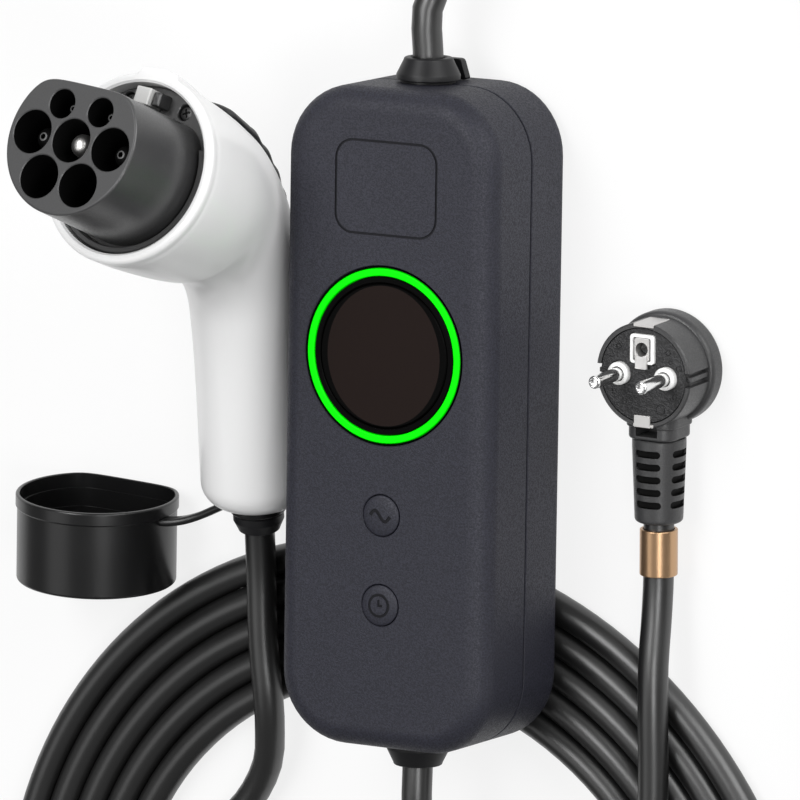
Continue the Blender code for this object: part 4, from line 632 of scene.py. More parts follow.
class Form:
    """A piece's mesh in the making, with the operators that shape it."""

    CORNER_STEPS = 12
    SIDES = 96

    def __init__(self, name: str) -> None:
        """Start an empty form with the name that its piece will have."""
        self.name = name
        self.mesh = bmesh.new()

    @classmethod
    def slab(cls, name: str, size: Point, corner: float, low: float, high: float,
             top_round: float = 0.0, foot_round: float = 0.0, steps: int = 8) -> Form:
        """A slab with rounded corners and rounded rims.

        Args:
            name: The form's name.
            size: Its width and height.
            corner: The radius of its four corners.
            low: Where it starts along Z.
            high: Where it ends.
            top_round: The radius of its upper rim.
            foot_round: The radius of its lower rim.
            steps: The segments of each rim's round.

        Returns:
            The form.
        """
        form = cls(name)
        place = Matrix.Translation((0, 0, (low + high) / 2))
        scale = Matrix.Diagonal((size[0], size[1], high - low, 1.0))
        bmesh.ops.create_cube(form.mesh, size=1.0, matrix=place @ scale)
        form.bevel(upright, corner, cls.CORNER_STEPS)
        form.bevel(at_height(high), top_round, steps)
        form.bevel(at_height(low), foot_round, steps)
        return form

    @classmethod
    def turned(cls, name: str, profile: Sequence[Point], closed: bool = False,
               sides: int = SIDES) -> Form:
        """A profile turned round Z.

        Args:
            name: The form's name.
            profile: Its points, each a radius and a height.
            closed: Whether the last point joins the first, for a ring.
            sides: How many steps the turn takes.

        Returns:
            The form.
        """
        form = cls(name)
        verts = [form.mesh.verts.new((radius, 0.0, height)) for radius, height in profile]
        pairs = list(zip(verts, verts[1:])) + ([(verts[-1], verts[0])] if closed else [])
        edges = [form.mesh.edges.new(pair) for pair in pairs]
        bmesh.ops.spin(form.mesh, geom=verts + edges, cent=(0, 0, 0), axis=(0, 0, 1),
                       angle=TURN, steps=sides, use_merge=True)
        return form.tidy()

    @classmethod
    def drum(cls, name: str, radius: float, low: float, high: float, flare: float = 0.0,
             sides: int = 64) -> Form:
        """A plain round drum, whose top end can widen in a short chamfer.

        Args:
            name: The form's name.
            radius: Its radius.
            low: Where it starts along Z.
            high: Where the plain part ends.
            flare: How far it widens above, and how high that chamfer is.
            sides: How many sides it has.

        Returns:
            The form.
        """
        profile = [(0.0, low), (radius, low), (radius, high)]
        if flare:
            profile += [(radius + flare, high + flare), (radius + flare, high + 8 * flare)]
        return cls.turned(name, [*profile, (0.0, profile[-1][1])], sides=sides)

    @classmethod
    def skin(cls, name: str, columns: int, rows: int,
             place: Callable[[float, float], Vector], capped: bool = True) -> Form:
        """A grid laid over a surface, with its seam merged and its ends filled.

        Args:
            name: The form's name.
            columns: Steps across the surface.
            rows: Steps along it.
            place: Gives the point of two shares, across and along.
            capped: Whether open ends are filled.

        Returns:
            The form.
        """
        form = cls(name)
        bmesh.ops.create_grid(form.mesh, x_segments=columns, y_segments=rows, size=0.5)
        for vert in form.mesh.verts:
            vert.co = place(vert.co.x + 0.5, vert.co.y + 0.5)
        bmesh.ops.remove_doubles(form.mesh, verts=form.mesh.verts, dist=1e-6)
        if capped:
            rims = [edge for edge in form.mesh.edges if edge.is_boundary]
            bmesh.ops.holes_fill(form.mesh, edges=rims, sides=0)
        return form.tidy()

    @classmethod
    def d_turned(cls, name: str, radius: float, flat: float, profile: Sequence[Point],
                 columns: int = 168) -> Form:
        """A round form with a flat across its +Y side and softened corners beside it.

        Args:
            name: The form's name.
            radius: Its radius.
            flat: How far the flat lies from its middle.
            profile: Its points, each an inset from that outline and a height.
            columns: Steps around it.

        Returns:
            The form.
        """
        softness = 14

        def place(across: float, along: float) -> Vector:
            """A point of the form.

            Args:
                across: The share across.
                along: The share along.

            Returns:
                The point.
            """
            inset, height = profile[round(along * (len(profile) - 1))]
            angle = TURN * across
            plane = max(math.sin(angle), 0.0) / (flat - inset)
            reach = ((1 / (radius - inset)) ** softness + plane ** softness) ** (-1 / softness)
            return Vector((reach * math.cos(angle), reach * math.sin(angle), height))

        return cls.skin(name, columns, len(profile) - 1, place)

    @classmethod
    def tube(cls, name: str, points: Sequence[Vector], radius: float, flat: float = 0.0) -> Form:
        """A round or flat tube along a line.

        Args:
            name: The form's name.
            points: The line's points.
            radius: The tube's radius, or half a flat strap's thickness.
            flat: How much wider than thick a strap is.

        Returns:
            The form.
        """
        item = tube_curve(name, points, radius, 4)
        item.data.twist_mode = "Z_UP"
        item.data.extrude = flat / 2
        form = cls(name)
        form.take(item)
        bmesh.ops.remove_doubles(form.mesh, verts=form.mesh.verts, dist=1e-7)
        return form.tidy()

    def take(self, item: bpy.types.Object) -> None:
        """Replace the form's mesh by what a temporary object looks like, and remove that.

        Args:
            item: The object.
        """
        made = item.evaluated_get(bpy.context.evaluated_depsgraph_get())
        result = bpy.data.meshes.new_from_object(made)
        self.mesh.clear()
        self.mesh.from_mesh(result)
        bpy.data.meshes.remove(result)
        bpy.data.objects.remove(item)

    def tidy(self) -> Form:
        """Merge what coincides and turn all faces outwards.

        Returns:
            The form.
        """
        bmesh.ops.remove_doubles(self.mesh, verts=self.mesh.verts, dist=1e-7)
        bmesh.ops.recalc_face_normals(self.mesh, faces=self.mesh.faces)
        return self

    def bevel(self, wanted: Callable[[bmesh.types.BMEdge], bool], radius: float,
              steps: int = 3) -> Form:
        """Round the edges that a test picks.

        Args:
            wanted: The test.
            radius: The round's radius. Nothing is done at 0.
            steps: Its segments.

        Returns:
            The form.
        """
        edges = [edge for edge in self.mesh.edges if radius > 0 and wanted(edge)]
        if edges:
            bmesh.ops.bevel(self.mesh, geom=edges, offset=radius, offset_type="OFFSET",
                            segments=steps, profile=0.5, affect="EDGES", material=-1)
        return self.tidy()

    def moved(self, frame: Matrix) -> Form:
        """Move and turn the form by a frame."""
        bmesh.ops.transform(self.mesh, matrix=frame, verts=self.mesh.verts)
        return self

    def at(self, *place: float) -> Form:
        """Move the form by three lengths."""
        return self.moved(Matrix.Translation(place))

    def thickened(self, depth: float) -> Form:
        """Give a flat sheet a depth along Z.

        Args:
            depth: The depth.

        Returns:
            The form.
        """
        raised = bmesh.ops.extrude_face_region(self.mesh, geom=self.mesh.faces[:],
                                               use_keep_orig=True)["geom"]
        lifted = [part for part in raised if isinstance(part, bmesh.types.BMVert)]
        bmesh.ops.translate(self.mesh, verts=lifted, vec=(0, 0, depth))
        return self.tidy()

    def data(self) -> bpy.types.Mesh:
        """Turn the form into a mesh, which uses it up.

        Returns:
            The mesh.
        """
        data = bpy.data.meshes.new(self.name)
        self.mesh.to_mesh(data)
        self.mesh.free()
        return data

    def with_all(self, others: Iterable[Form]) -> Form:
        """Add other forms' meshes to this one, as they lie.

        Args:
            others: The other forms, which are used up.

        Returns:
            The form.
        """
        for other in others:
            data = other.data()
            self.mesh.from_mesh(data)
            bpy.data.meshes.remove(data)
        return self

    def combined(self, other: Form, operation: str) -> Form:
        """Join another form to this one, or cut it away.

        Args:
            other: The other form, which is used up.
            operation: UNION or DIFFERENCE.

        Returns:
            The form.
        """
        forms = (Form(self.name).with_all([self]), other)
        items = [linked(form.name, form.data()) for form in forms]
        change = items[0].modifiers.new("change", "BOOLEAN")
        change.solver, change.operation, change.object = "EXACT", operation, items[1]
        self.mesh = bmesh.new()
        self.take(items[0])
        bpy.data.objects.remove(items[1])
        return self

    def cut(self, *others: Form) -> Form:
        """Cut other forms, which don't meet each other, away from this one."""
        return self.combined(Form("cutters").with_all(others), "DIFFERENCE")

    def fused(self, *others: Form) -> Form:
        """Join other forms to this one, one after the other."""
        for other in others:
            self.combined(other, "UNION")
        return self

    def painted(self, wanted: Callable[[Vector], bool], index: int = 1) -> Form:
        """Give the faces that a test picks another of the piece's finishes.

        Args:
            wanted: A test of a face's middle.
            index: The finish's number.

        Returns:
            The form.
        """
        for face in self.mesh.faces:
            if wanted(face.calc_center_median()):
                face.material_index = index
        return self

    def shown(self, finishes: Finish | Sequence[Finish], *nodes: str,
              frame: Matrix | None = None, body: Body = Body.CHARGER,
              sharp: float = 32.0) -> bpy.types.Object:
        """Make the form a piece of the scene.

        Args:
            finishes: The finish, or several by number.
            nodes: The CAD nodes that the piece stands for.
            frame: The frame that it is placed by.
            body: The body that it rides on.
            sharp: The angle in degrees from which an edge stays sharp.

        Returns:
            The piece.
        """
        if frame is not None:
            self.moved(frame)
        worn = [finishes] if isinstance(finishes, Finish) else list(finishes)
        bmesh.ops.dissolve_degenerate(self.mesh, edges=self.mesh.edges, dist=1e-8)
        self.tidy()
        for face in self.mesh.faces:
            face.smooth = True
        for edge in self.mesh.edges:
            edge.smooth = edge.calc_face_angle(0.0) < math.radians(sharp)
        count = len(self.mesh.faces)
        piece = linked(self.name, self.data())
        for finish in worn:
            piece.data.materials.append(finish.material())
        even = piece.modifiers.new("even_normals", "WEIGHTED_NORMAL")
        even.keep_sharp = True
        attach(piece, body.value)
        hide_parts(*nodes)
        LOG.info("%s: %d faces", self.name, count)
        return piece


def cross_screw(name: str, radius: float, head: float, shank: float, length: float) -> Form:
    """A cross-head screw with its head's top at zero and its shank down along Z.

    Args:
        name: The form's name.
        radius: The head's radius.
        head: The head's height.
        shank: The shank's radius.
        length: The height of head and shank together.

    Returns:
        The form.
    """
    profile = [(0.0, 0.0), (0.7 * radius, 0.0), (0.93 * radius, -0.1 * radius),
               (radius, -0.28 * radius), (radius, -head), (shank, -head), (shank, -length),
               (0.0, -length)]
    arms = [Form.slab("arm", (1.25 * radius, 0.28 * radius), 0.06 * radius, -0.5 * radius, radius)
            .moved(Matrix.Rotation(turn, 4, "Z")) for turn in (0.4, 0.4 + QUARTER)]
    return Form.turned(name, profile, sides=48).cut(arms[0]).cut(arms[1])


def smooth_route(points: Iterable[Point], spacing: float) -> list[Vector]:
    """Points at an even spacing on a smooth curve through a route's own points.

    Args:
        points: The route's own points.
        spacing: The wanted distance between points.

    Returns:
        The evenly spaced points.
    """
    stops = [Vector(point) for point in points]
    ends = [2 * stops[0] - stops[1], *stops, 2 * stops[-1] - stops[-2]]
    dense = []
    for index in range(1, len(ends) - 2):
        before, start, end, after = ends[index - 1:index + 3]
        for step in range(24):
            t = step / 24
            dense.append(0.5 * (2 * start + (end - before) * t
                                + (2 * before - 5 * start + 4 * end - after) * t ** 2
                                + (3 * start - before - 3 * end + after) * t ** 3))
    dense.append(stops[-1])
    lengths = [0.0]
    for first, second in zip(dense, dense[1:]):
        lengths.append(lengths[-1] + (second - first).length)
    count = max(2, round(lengths[-1] / spacing))
    even, cursor = [], 0
    for step in range(count + 1):
        wanted = lengths[-1] * step / count
        while cursor < len(lengths) - 2 and lengths[cursor + 1] < wanted:
            cursor += 1
        share = (wanted - lengths[cursor]) / (lengths[cursor + 1] - lengths[cursor])
        even.append(dense[cursor].lerp(dense[cursor + 1], share))
    return even


def route_length(points: Sequence[Vector]) -> float:
    """The length of a line through points."""
    return sum((second - first).length for first, second in zip(points, points[1:]))


# Control box


@dataclass
class ControlBox:
    """The slate box with its lit display, its keys and its glands."""

    place: Point = (0.0296, 0.0036, 0.0074746)
    tilt: float = math.radians(-3.7214)
    yaw: float = math.radians(1.2)
    width: float = 0.087
    height: float = 0.240
    depth: float = 0.055
    corner: float = 0.026
    front_round: float = 0.0085
    front_steps: int = 12
    rear_round: float = 0.005
    wall: float = 0.003
    seam: float = 0.026
    seam_gap: float = 0.00045
    seam_round: float = 0.0004
    end_way_length: float = 0.03
    display_place: float = 0.024
    ring_outer: float = 0.0317
    ring_width: float = 0.0028
    ring_round: float = 0.0006
    ring_sink: float = 0.0004
    bezel_lip: float = 0.0006
    bezel_edge: float = 0.0006
    annulus: float = 0.0025
    print_inset: Point = (0.0024, 0.0003)
    glass: float = 0.002
    glass_edge: float = 0.0004
    ledge: float = 0.0032
    flange_reach: float = 0.0029
    flange_thickness: float = 0.002
    key_radius: float = 0.0074
    key_rise: float = 0.0012
    key_rim_sink: float = 0.15
    key_steps: int = 16
    key_flange: float = 0.0089
    key_flange_thickness: float = 0.0013
    key_stem: Point = (0.003, 0.0028)
    current_key: float = -0.0340
    timer_key: float = -0.0667
    sign_depth: float = 0.00072
    sign_slack: float = 0.00004
    sign_height: float = 0.00006
    wave_size: Point = (0.0082, 0.0019, 0.0012)
    clock_radii: Point = (0.0044, 0.0034)
    clock_stroke: float = 0.0009
    clock_hands: Point = (0.0026, 0.0020)
    clock_shifts: Point = (0.0009, 0.0006)
    badge_size: Point = (0.0425, 0.0345)
    badge_corner: float = 0.0075
    badge_place: float = 0.0845
    groove_width: float = 0.0009
    groove_depth: float = 0.0005
    screw_inset: Point = (0.0115, 0.015)
    screw_head: float = 0.0029
    screw_head_height: float = 0.0022
    screw_sink: float = 0.0008
    screw_shank: float = 0.0015
    screw_length: float = 0.0162
    gland_base: float = 0.0116
    gland_tip: float = 0.0090
    gland_height: float = 0.0092
    gland_skirt: float = 0.0030
    gland_neck: float = 0.0093
    gland_round: float = 0.0009
    gland_barb: Point = (0.0112, 0.0022, 0.0057)
    lug_size: Point = (0.018, 0.013, 0.0075)
    lug_thickness: float = 0.0034
    lug_eye: float = 0.0017
    lug_eye_share: float = 0.55
    lug_rounds: Point = (0.0012, 0.0004)
    lug_depth: float = 0.0125

    def frame(self) -> Matrix:
        """The box's own frame: its middle on its back, +Y to its upper gland."""
        return posed(self.place, (self.tilt, 0.0, self.yaw))

    def end_ways(self) -> list[Form]:
        """Lay out the ways for the glands' necks through both end walls.

        Returns:
            The ways' forms.
        """
        turn = Matrix.Translation((0, 0, self.seam)) @ Matrix.Rotation(QUARTER, 4, "X")
        reach, length = self.height / 2, self.end_way_length
        return [Form.drum("gland_way", self.gland_neck + GAP, low, low + length).moved(turn)
                for low in (-reach - length / 2, reach - length / 2)]

    def hollow(self, low: float, high: float, top: float = 0.0, foot: float = 0.0) -> Form:
        """The space inside a shell's walls, with the radii of its upper and lower rims."""
        size = (self.width - 2 * self.wall, self.height - 2 * self.wall)
        return Form.slab("hollow", size, self.corner - self.wall, low, high, top, foot)

    def front_shell(self) -> None:
        """Mould the front shell with its display opening, key holes and badge groove, whose faces
        are darkened as painted shade.
        """
        shell = Form.slab("slate_front", (self.width, self.height), self.corner,
                          self.seam + self.seam_gap, self.depth, self.front_round,
                          self.seam_round, self.front_steps)
        shell.cut(self.hollow(-self.depth, self.depth - self.wall, self.front_round - self.wall))
        shell.cut(*self.end_ways())
        floor = self.depth - 2 * self.wall
        round_holes = [
            (self.ring_outer + self.bezel_lip + GAP, self.display_place),
            (self.key_radius + GAP, self.current_key),
            (self.key_radius + GAP, self.timer_key),
        ]
        shell.cut(*(Form.drum("hole", radius, floor, self.depth - GAP, GAP, sides=128)
                    .at(0, height, 0) for radius, height in round_holes))
        base = self.depth - self.groove_depth
        outer = Form.slab("groove", self.badge_size, self.badge_corner, base, self.depth + PAST)
        inner_size = [side - 2 * self.groove_width for side in self.badge_size]
        inner = Form.slab("field", inner_size, self.badge_corner - self.groove_width,
                          base - PAST, self.depth + 2 * PAST)
        shell.cut(outer.cut(inner).at(0, self.badge_place, 0))
        reach = [side / 2 + PAST for side in self.badge_size]

        def in_groove(middle: Vector) -> bool:
            """Whether a face is in the badge's groove."""
            return (base - 1e-5 < middle.z < self.depth - 1e-5 and abs(middle.x) < reach[0]
                    and abs(middle.y - self.badge_place) < reach[1])

        # Painted shade: the groove's floor and walls get the darker groove colour.
        shell.painted(in_groove)
        shell.shown((Finishes.CASE, Finishes.GROOVE), "front_shell", frame=self.frame())

    def rear_shell(self) -> None:
        """Mould the rear shell with its four screw wells, and set the screws in them."""
        top = self.seam - self.seam_gap
        shell = Form.slab("slate_rear", (self.width, self.height), self.corner, 0.0, top,
                          self.seam_round, self.rear_round)
        shell.cut(self.hollow(self.wall, self.depth, foot=self.rear_round - self.wall))
        shell.cut(*self.end_ways())
        places = [(sx * (self.width / 2 - self.screw_inset[0]),
                   sy * (self.height / 2 - self.screw_inset[1]))
                  for sx in (-1, 1) for sy in (-1, 1)]
        shell.cut(*(Form.drum("well", self.screw_head + GAP, -PAST, 2 * self.wall).at(x, y, 0)
                    for x, y in places))
        shell.shown(Finishes.CASE, "rear_shell", frame=self.frame())
        for number, (x, y) in enumerate(places, start=1):
            turn = Matrix.Translation((x, y, self.screw_sink)) @ Matrix.Rotation(math.pi, 4, "X")
            screw = cross_screw(f"rear_screw_{number}", self.screw_head, self.screw_head_height,
                                self.screw_shank, self.screw_length)
            screw.shown(Finishes.STEEL, f"case_screw_{number}", frame=self.frame() @ turn)

    def display(self) -> None:
        """Set the bezel, the light ring and the smoked window, one inside the other."""
        frame = self.frame() @ Matrix.Translation((0, self.display_place, 0))
        ring_inner = self.ring_outer - self.ring_width
        window = ring_inner - GAP - self.annulus
        top = self.depth - self.wall - GAP
        floor = top - self.flange_thickness
        ring_floor = self.depth - self.glass - 2 * GAP
        lip = self.ring_outer + self.bezel_lip
        bezel = [
            (window - self.ledge, ring_floor), (window + GAP, ring_floor),
            (window + GAP, self.depth - GAP), (window + self.bezel_edge, self.depth),
            (ring_inner - self.bezel_edge, self.depth), (ring_inner - GAP, self.depth - GAP),
            (ring_inner - GAP, ring_floor - GAP), (self.ring_outer + GAP, ring_floor - GAP),
            (self.ring_outer + GAP, self.depth + 0.0001), (lip - 0.0002, self.depth + GAP),
            (lip, self.depth + 0.0001), (lip, top), (self.ring_outer + self.flange_reach, top),
            (self.ring_outer + self.flange_reach, floor), (window - self.ledge, floor),
        ]
        Form.turned("display_bezel", bezel, closed=True, sides=160).shown(
            Finishes.BEZEL, "screen_bezel", frame=frame)
        edge, shoulder = self.ring_round, self.depth - self.ring_sink
        ring = [(ring_inner, ring_floor), (ring_inner, shoulder),
                *arc((ring_inner + edge, shoulder), edge, -QUARTER, 0.0),
                *arc((self.ring_outer - edge, shoulder), edge, 0.0, QUARTER),
                (self.ring_outer, ring_floor)]
        Form.turned("glowing_ring", ring, closed=True, sides=160).shown(
            Finishes.GUIDE, "light_ring", frame=frame)
        inner = window - self.glass_edge
        oval = [inner - inset for inset in self.print_inset]
        glass = [(0.0, 0.0, self.depth), (*oval, self.depth), (inner, inner, self.depth),
                 (window, window, self.depth - self.glass_edge),
                 (window, window, ring_floor + GAP),
                 (0.0, 0.0, ring_floor + GAP)]

        def place(across: float, along: float) -> Vector:
            """A point of the window.

            Args:
                across: The share across.
                along: The share along.

            Returns:
                The point.
            """
            width, height, level = glass[round(along * (len(glass) - 1))]
            turn = TURN * across
            return Vector((width * math.sin(turn), height * math.cos(turn), level))

        pane = Form.skin("display_window", 160, len(glass) - 1, place)
        pane.painted(lambda middle: math.hypot(middle.x / oval[0], middle.y / oval[1]) > 1.0)
        pane.shown((Finishes.WINDOW, Finishes.BEZEL), "screen_window", frame=frame)

    def key_form(self, name: str) -> Form:
        """A push key: a shallow dome on a skirt with a flange and a stem.

        Args:
            name: The form's name.

        Returns:
            The form, with its top rim at the case's front.
        """
        flange_top = -self.wall - GAP
        flange_floor = flange_top - self.key_flange_thickness
        stem, length = self.key_stem
        turns = [step / self.key_steps * QUARTER for step in range(self.key_steps + 1)]
        dome = [(self.key_radius * math.sin(turn),
                 self.key_rise * (math.cos(turn) - self.key_rim_sink)) for turn in turns]
        return Form.turned(name, [
            *dome, (self.key_radius, flange_top), (self.key_flange, flange_top),
            (self.key_flange, flange_floor), (stem, flange_floor),
            (stem, flange_floor - length), (0.0, flange_floor - length)])

    def current_sign(self, margin: float, low: float, depth: float) -> list[Form]:
        """A wave, for the current.

        Args:
            margin: How much wider its stroke is drawn.
            low: Where it starts along Z.
            depth: How high it stands.

        Returns:
            Its strokes.
        """
        length, swing, stroke = self.wave_size
        stroke += 2 * margin

        def place(across: float, along: float) -> Vector:
            """A point of the wave's stroke.

            Args:
                across: The share across.
                along: The share along.

            Returns:
                The point.
            """
            turn = TURN * along
            tilt = math.atan(TURN * swing / length * math.cos(turn))
            side = (across - 0.5) * stroke
            return Vector(((along - 0.5) * length - side * math.sin(tilt),
                           swing * math.sin(turn) + side * math.cos(tilt), low))

        return [Form.skin("wave", 2, 36, place, capped=False).thickened(depth)]

    def timer_sign(self, margin: float, low: float, depth: float) -> list[Form]:
        """A clock's ring and two hands, for the timer.

        Args:
            margin: How much wider its strokes are drawn.
            low: Where it starts along Z.
            depth: How high it stands.

        Returns:
            Its strokes.
        """
        outer, inner = self.clock_radii[0] + margin, self.clock_radii[1] - margin
        stroke = self.clock_stroke + 2 * margin
        ring = Form.turned("ring", [(outer, low), (outer, low + depth), (inner, low + depth),
                                    (inner, low)], closed=True, sides=64)
        size = [length + margin for length in self.clock_hands]
        upright_hand = Form.slab("hand", (stroke, size[0]), stroke / 3, low, low + depth)
        level_hand = Form.slab("hand", (size[1], stroke), stroke / 3, low, low + depth)
        hands = upright_hand.at(0, self.clock_shifts[0], 0).fused(
            level_hand.at(self.clock_shifts[1], 0, 0))
        return [ring, hands]

    def keys(self) -> None:
        """Set the two keys with their sunk signs."""
        rows = [
            ("current", self.current_key, self.current_sign, Body.CURRENT_KEY),
            ("timer", self.timer_key, self.timer_sign, Body.TIMER_KEY),
        ]
        for name, height, sign, body in rows:
            frame = self.frame() @ Matrix.Translation((0, height, self.depth))
            key = self.key_form(f"{name}_push_key")
            floor = self.sign_depth - 0.0001
            key.cut(*sign(self.sign_slack, floor, PAST))
            key.shown(Finishes.CASE, f"{name}_key", frame=frame, body=body)
            inlay = Form(f"{name}_key_sign").with_all(
                sign(0.0, self.sign_depth - 0.00009, self.sign_height))
            inlay.shown(Finishes.SIGN, frame=frame, body=body)

    def glands(self) -> None:
        """Set the tapered rubber glands at both ends and the lug behind the upper one."""
        neck_end = -self.wall - GAP
        step, collar, ledge = 0.0016, 0.0011, 0.0014
        barb, barb_length, neck_length = self.gland_barb
        base, neck, skirt = self.gland_base, self.gland_neck, self.gland_skirt
        profile = [
            *lead_mouth(self.gland_height, 0.0005),
            *rim(self.gland_tip, self.gland_height, self.gland_round),
            (base - 0.0003, skirt + 0.0006), (base, skirt), (base, ledge),
            (base - 0.0005, collar), (base - step, collar), (base - step, GAP), (neck, GAP),
            (neck, neck_end), (barb, neck_end), (barb, neck_end - barb_length),
            (neck - 0.001, neck_end - neck_length), (0.0, neck_end - neck_length),
        ]
        for name, sign in (("upper", 1), ("lower", -1)):
            turn = Matrix.Rotation(-sign * QUARTER, 4, "X")
            place = Matrix.Translation((0, sign * self.height / 2, self.seam))
            Form.turned(f"{name}_rubber_gland", profile).shown(
                Finishes.RUBBER, f"{name}_gland", frame=self.frame() @ place @ turn)
        foot, head, rise = self.lug_size

        def taper(across: float, along: float) -> Vector:
            """A point of the lug's outline."""
            half = (foot + (head - foot) * along) / 2
            return Vector(((2 * across - 1) * half, rise * along, 0.0))

        lug = Form.skin("lug", 1, 1, taper, capped=False).thickened(self.lug_thickness)
        corner, edge = self.lug_rounds
        lug.bevel(upright, corner, 5)
        lug.bevel(at_height(0.0), edge).bevel(at_height(self.lug_thickness), edge)
        lug.cut(Form.drum("eye", self.lug_eye, -PAST, 0.006, sides=40)
                .at(0, rise * self.lug_eye_share, 0))
        lug.name = "moulded_lug"
        place = Matrix.Translation((0, self.height / 2 + GAP,
                                    self.lug_depth - self.lug_thickness / 2))
        lug.shown(Finishes.RUBBER, "hanging_lug", frame=self.frame() @ place)

    def build(self) -> None:
        """Build the whole box."""
        self.front_shell()
        self.rear_shell()
        self.display()
        self.keys()
        self.glands()


# Vehicle connector


@dataclass
class VehicleConnector:
    """The white bent connector with its grey nose, its contacts and its fittings."""

    place: Point = (-0.0473, 0.1002, 0.1090)
    turn: Point = (math.radians(-24.0), math.radians(-6.2), math.radians(-4.0))
    bend: float = math.radians(124.5)
    head_depth: float = 0.0740
    handle_length: float = 0.1013
    bend_radius: float = 0.060
    end_round: float = 0.0095
    rim_round: float = 0.0020
    columns: int = 216
    rings: int = 96
    ring_bias: float = 1.25
    sections: tuple[Point, ...] = (
        (0.00, 0.0355, 0.0355),
        (0.07, 0.0350, 0.0350),
        (0.19, 0.0330, 0.0330),
        (0.26, 0.0304, 0.0310),
        (0.34, 0.0262, 0.0276),
        (0.43, 0.0228, 0.0244),
        (0.55, 0.0206, 0.0218),
        (0.72, 0.0198, 0.0205),
        (1.00, 0.0205, 0.0205),
    )
    groove_place: float = 0.0150
    groove_depth: float = 0.00035
    groove_width: float = 0.0060
    land_height: float = 0.0020
    land_half_angle: float = math.radians(14.0)
    land_length: float = 0.10
    land_edge: float = math.radians(1.7)
    recess_radius: float = 0.0318
    recess_edge: float = 0.0008
    flange_top: float = -0.004
    flange_thickness: float = 0.008
    retainer_thickness: float = 0.003
    nose_radius: float = 0.0275
    nose_flat: float = 0.0208
    nose_length: float = 0.043
    nose_edge: float = 0.0009
    collar_width: float = 0.0022
    collar_height: float = 0.0045
    collar_edge: float = 0.0004
    collar_opening: float = 0.012
    gap_size: Point = (0.11, 0.055)
    way_depth: float = 0.034
    way_edge: float = 0.00035
    power_way: float = 0.0080
    signal_way: float = 0.0054
    power_row: float = 0.0175
    lower_pair: Point = (0.0087, -0.0151)
    upper_pair: Point = (0.0086, 0.0121)
    catch_size: Point = (0.0066, 0.0064, 0.0084)
    catch_place: Point = (-0.0017, 0.0262)
    guide_size: Point = (0.0034, 0.0052, 0.0066)
    screw_place: Point = (0.0125, 0.0246)
    contact_radii: Point = (0.0042, 0.0026, 0.0040)
    contact_sinks: Point = (0.004, 0.007)
    contact_flange: Point = (0.0010, 0.003, 0.004)
    contact_holes: Point = (0.0007, 0.0010)
    hole_depth: float = 0.004
    hole_ring: float = 1.7
    screw_head: float = 0.0026
    screw_head_height: float = 0.0027
    screw_shank: float = 0.0011
    screw_length: float = 0.0069
    screw_sink: float = 0.0010
    pad_range: Point = (0.19, 0.52)
    pad_half_angle: float = math.radians(27)
    pad_thickness: float = 0.0022
    pad_rows: int = 96
    pad_columns: int = 48
    ridges: int = 7
    ridge_height: float = 0.00035
    ridge_range: Point = (0.25, 0.82)
    gland_shank: float = 0.0074
    gland_shank_depth: float = 0.009
    gland_flange: float = 0.0094
    gland_tip: float = 0.0078
    gland_length: float = 0.0072
    gland_round: float = 0.0007
    ring_thickness: float = 0.0030

    def frame(self) -> Matrix:
        """The connector's frame: the rim's middle, +Z out of the rim, +Y outside the bend."""
        return posed(self.place, self.turn)

    def handle_line(self) -> Vector:
        """The handle's direction, towards its end."""
        return Vector((0.0, -math.sin(self.bend), math.cos(self.bend)))

    def tail_frame(self) -> Matrix:
        """Find the middle of the handle's end.

        Returns:
            The frame there, with +Z along the handle.
        """
        line = self.handle_line()
        point = Vector((0, 0, -self.head_depth)) + (self.handle_length + self.end_round) * line
        return self.frame() @ Matrix.Translation(point) @ Matrix.Rotation(self.bend, 4, "X")

    def axis(self, share: float) -> tuple[Vector, Vector]:
        """A point on the middle line and the line's direction there.

        Args:
            share: How far along the line, from the rim at 0 to the tail at 1.

        Returns:
            The point and the direction.
        """
        turn = math.pi - self.bend
        reach = self.bend_radius * math.tan(turn / 2)
        head = self.head_depth - reach
        curved = self.bend_radius * turn
        gone = share * (head + curved + self.handle_length - reach)
        angle = min(max(gone - head, 0.0) / self.bend_radius, turn)
        line = Vector((0.0, -math.sin(angle), -math.cos(angle)))
        point = Vector((0.0, self.bend_radius * (math.cos(angle) - 1),
                        -min(gone, head) - self.bend_radius * math.sin(angle)))
        return point + max(gone - head - curved, 0.0) * line, line

    def half_sizes(self, share: float) -> list[float]:
        """The section's half width and half depth.

        Args:
            share: How far along the middle line.

        Returns:
            The two sizes.
        """
        last = len(self.sections) - 1
        index = min(sum(stop[0] <= share for stop in self.sections[1:]), last - 1)
        start, end = self.sections[index:index + 2]
        before = self.sections[max(index - 1, 0)]
        after = self.sections[min(index + 2, last)]
        span = end[0] - start[0]
        t = (share - start[0]) / span
        sizes = []
        for side in (1, 2):
            leave = span * (end[side] - before[side]) / (end[0] - before[0])
            arrive = span * (after[side] - start[side]) / (after[0] - start[0])
            sizes.append(start[side] * (2 * t ** 3 - 3 * t * t + 1)
                         + leave * (t ** 3 - 2 * t * t + t)
                         + end[side] * (3 * t * t - 2 * t ** 3) + arrive * (t ** 3 - t * t))
        return sizes

    def surface(self, share: float, angle: float, offset: float = 0.0) -> Vector:
        """A point on the shell's skin.

        Args:
            share: How far along the middle line.
            angle: The angle from the outer side of the bend.
            offset: How far outside the skin.

        Returns:
            The point, in the connector's frame.
        """
        middle, line = self.axis(share)
        width, depth = self.half_sizes(share)
        outward = Vector((0.0, -line.z, line.y))
        return (middle + (width + offset) * math.sin(angle) * Vector((1, 0, 0))
                + (depth + offset) * math.cos(angle) * outward)

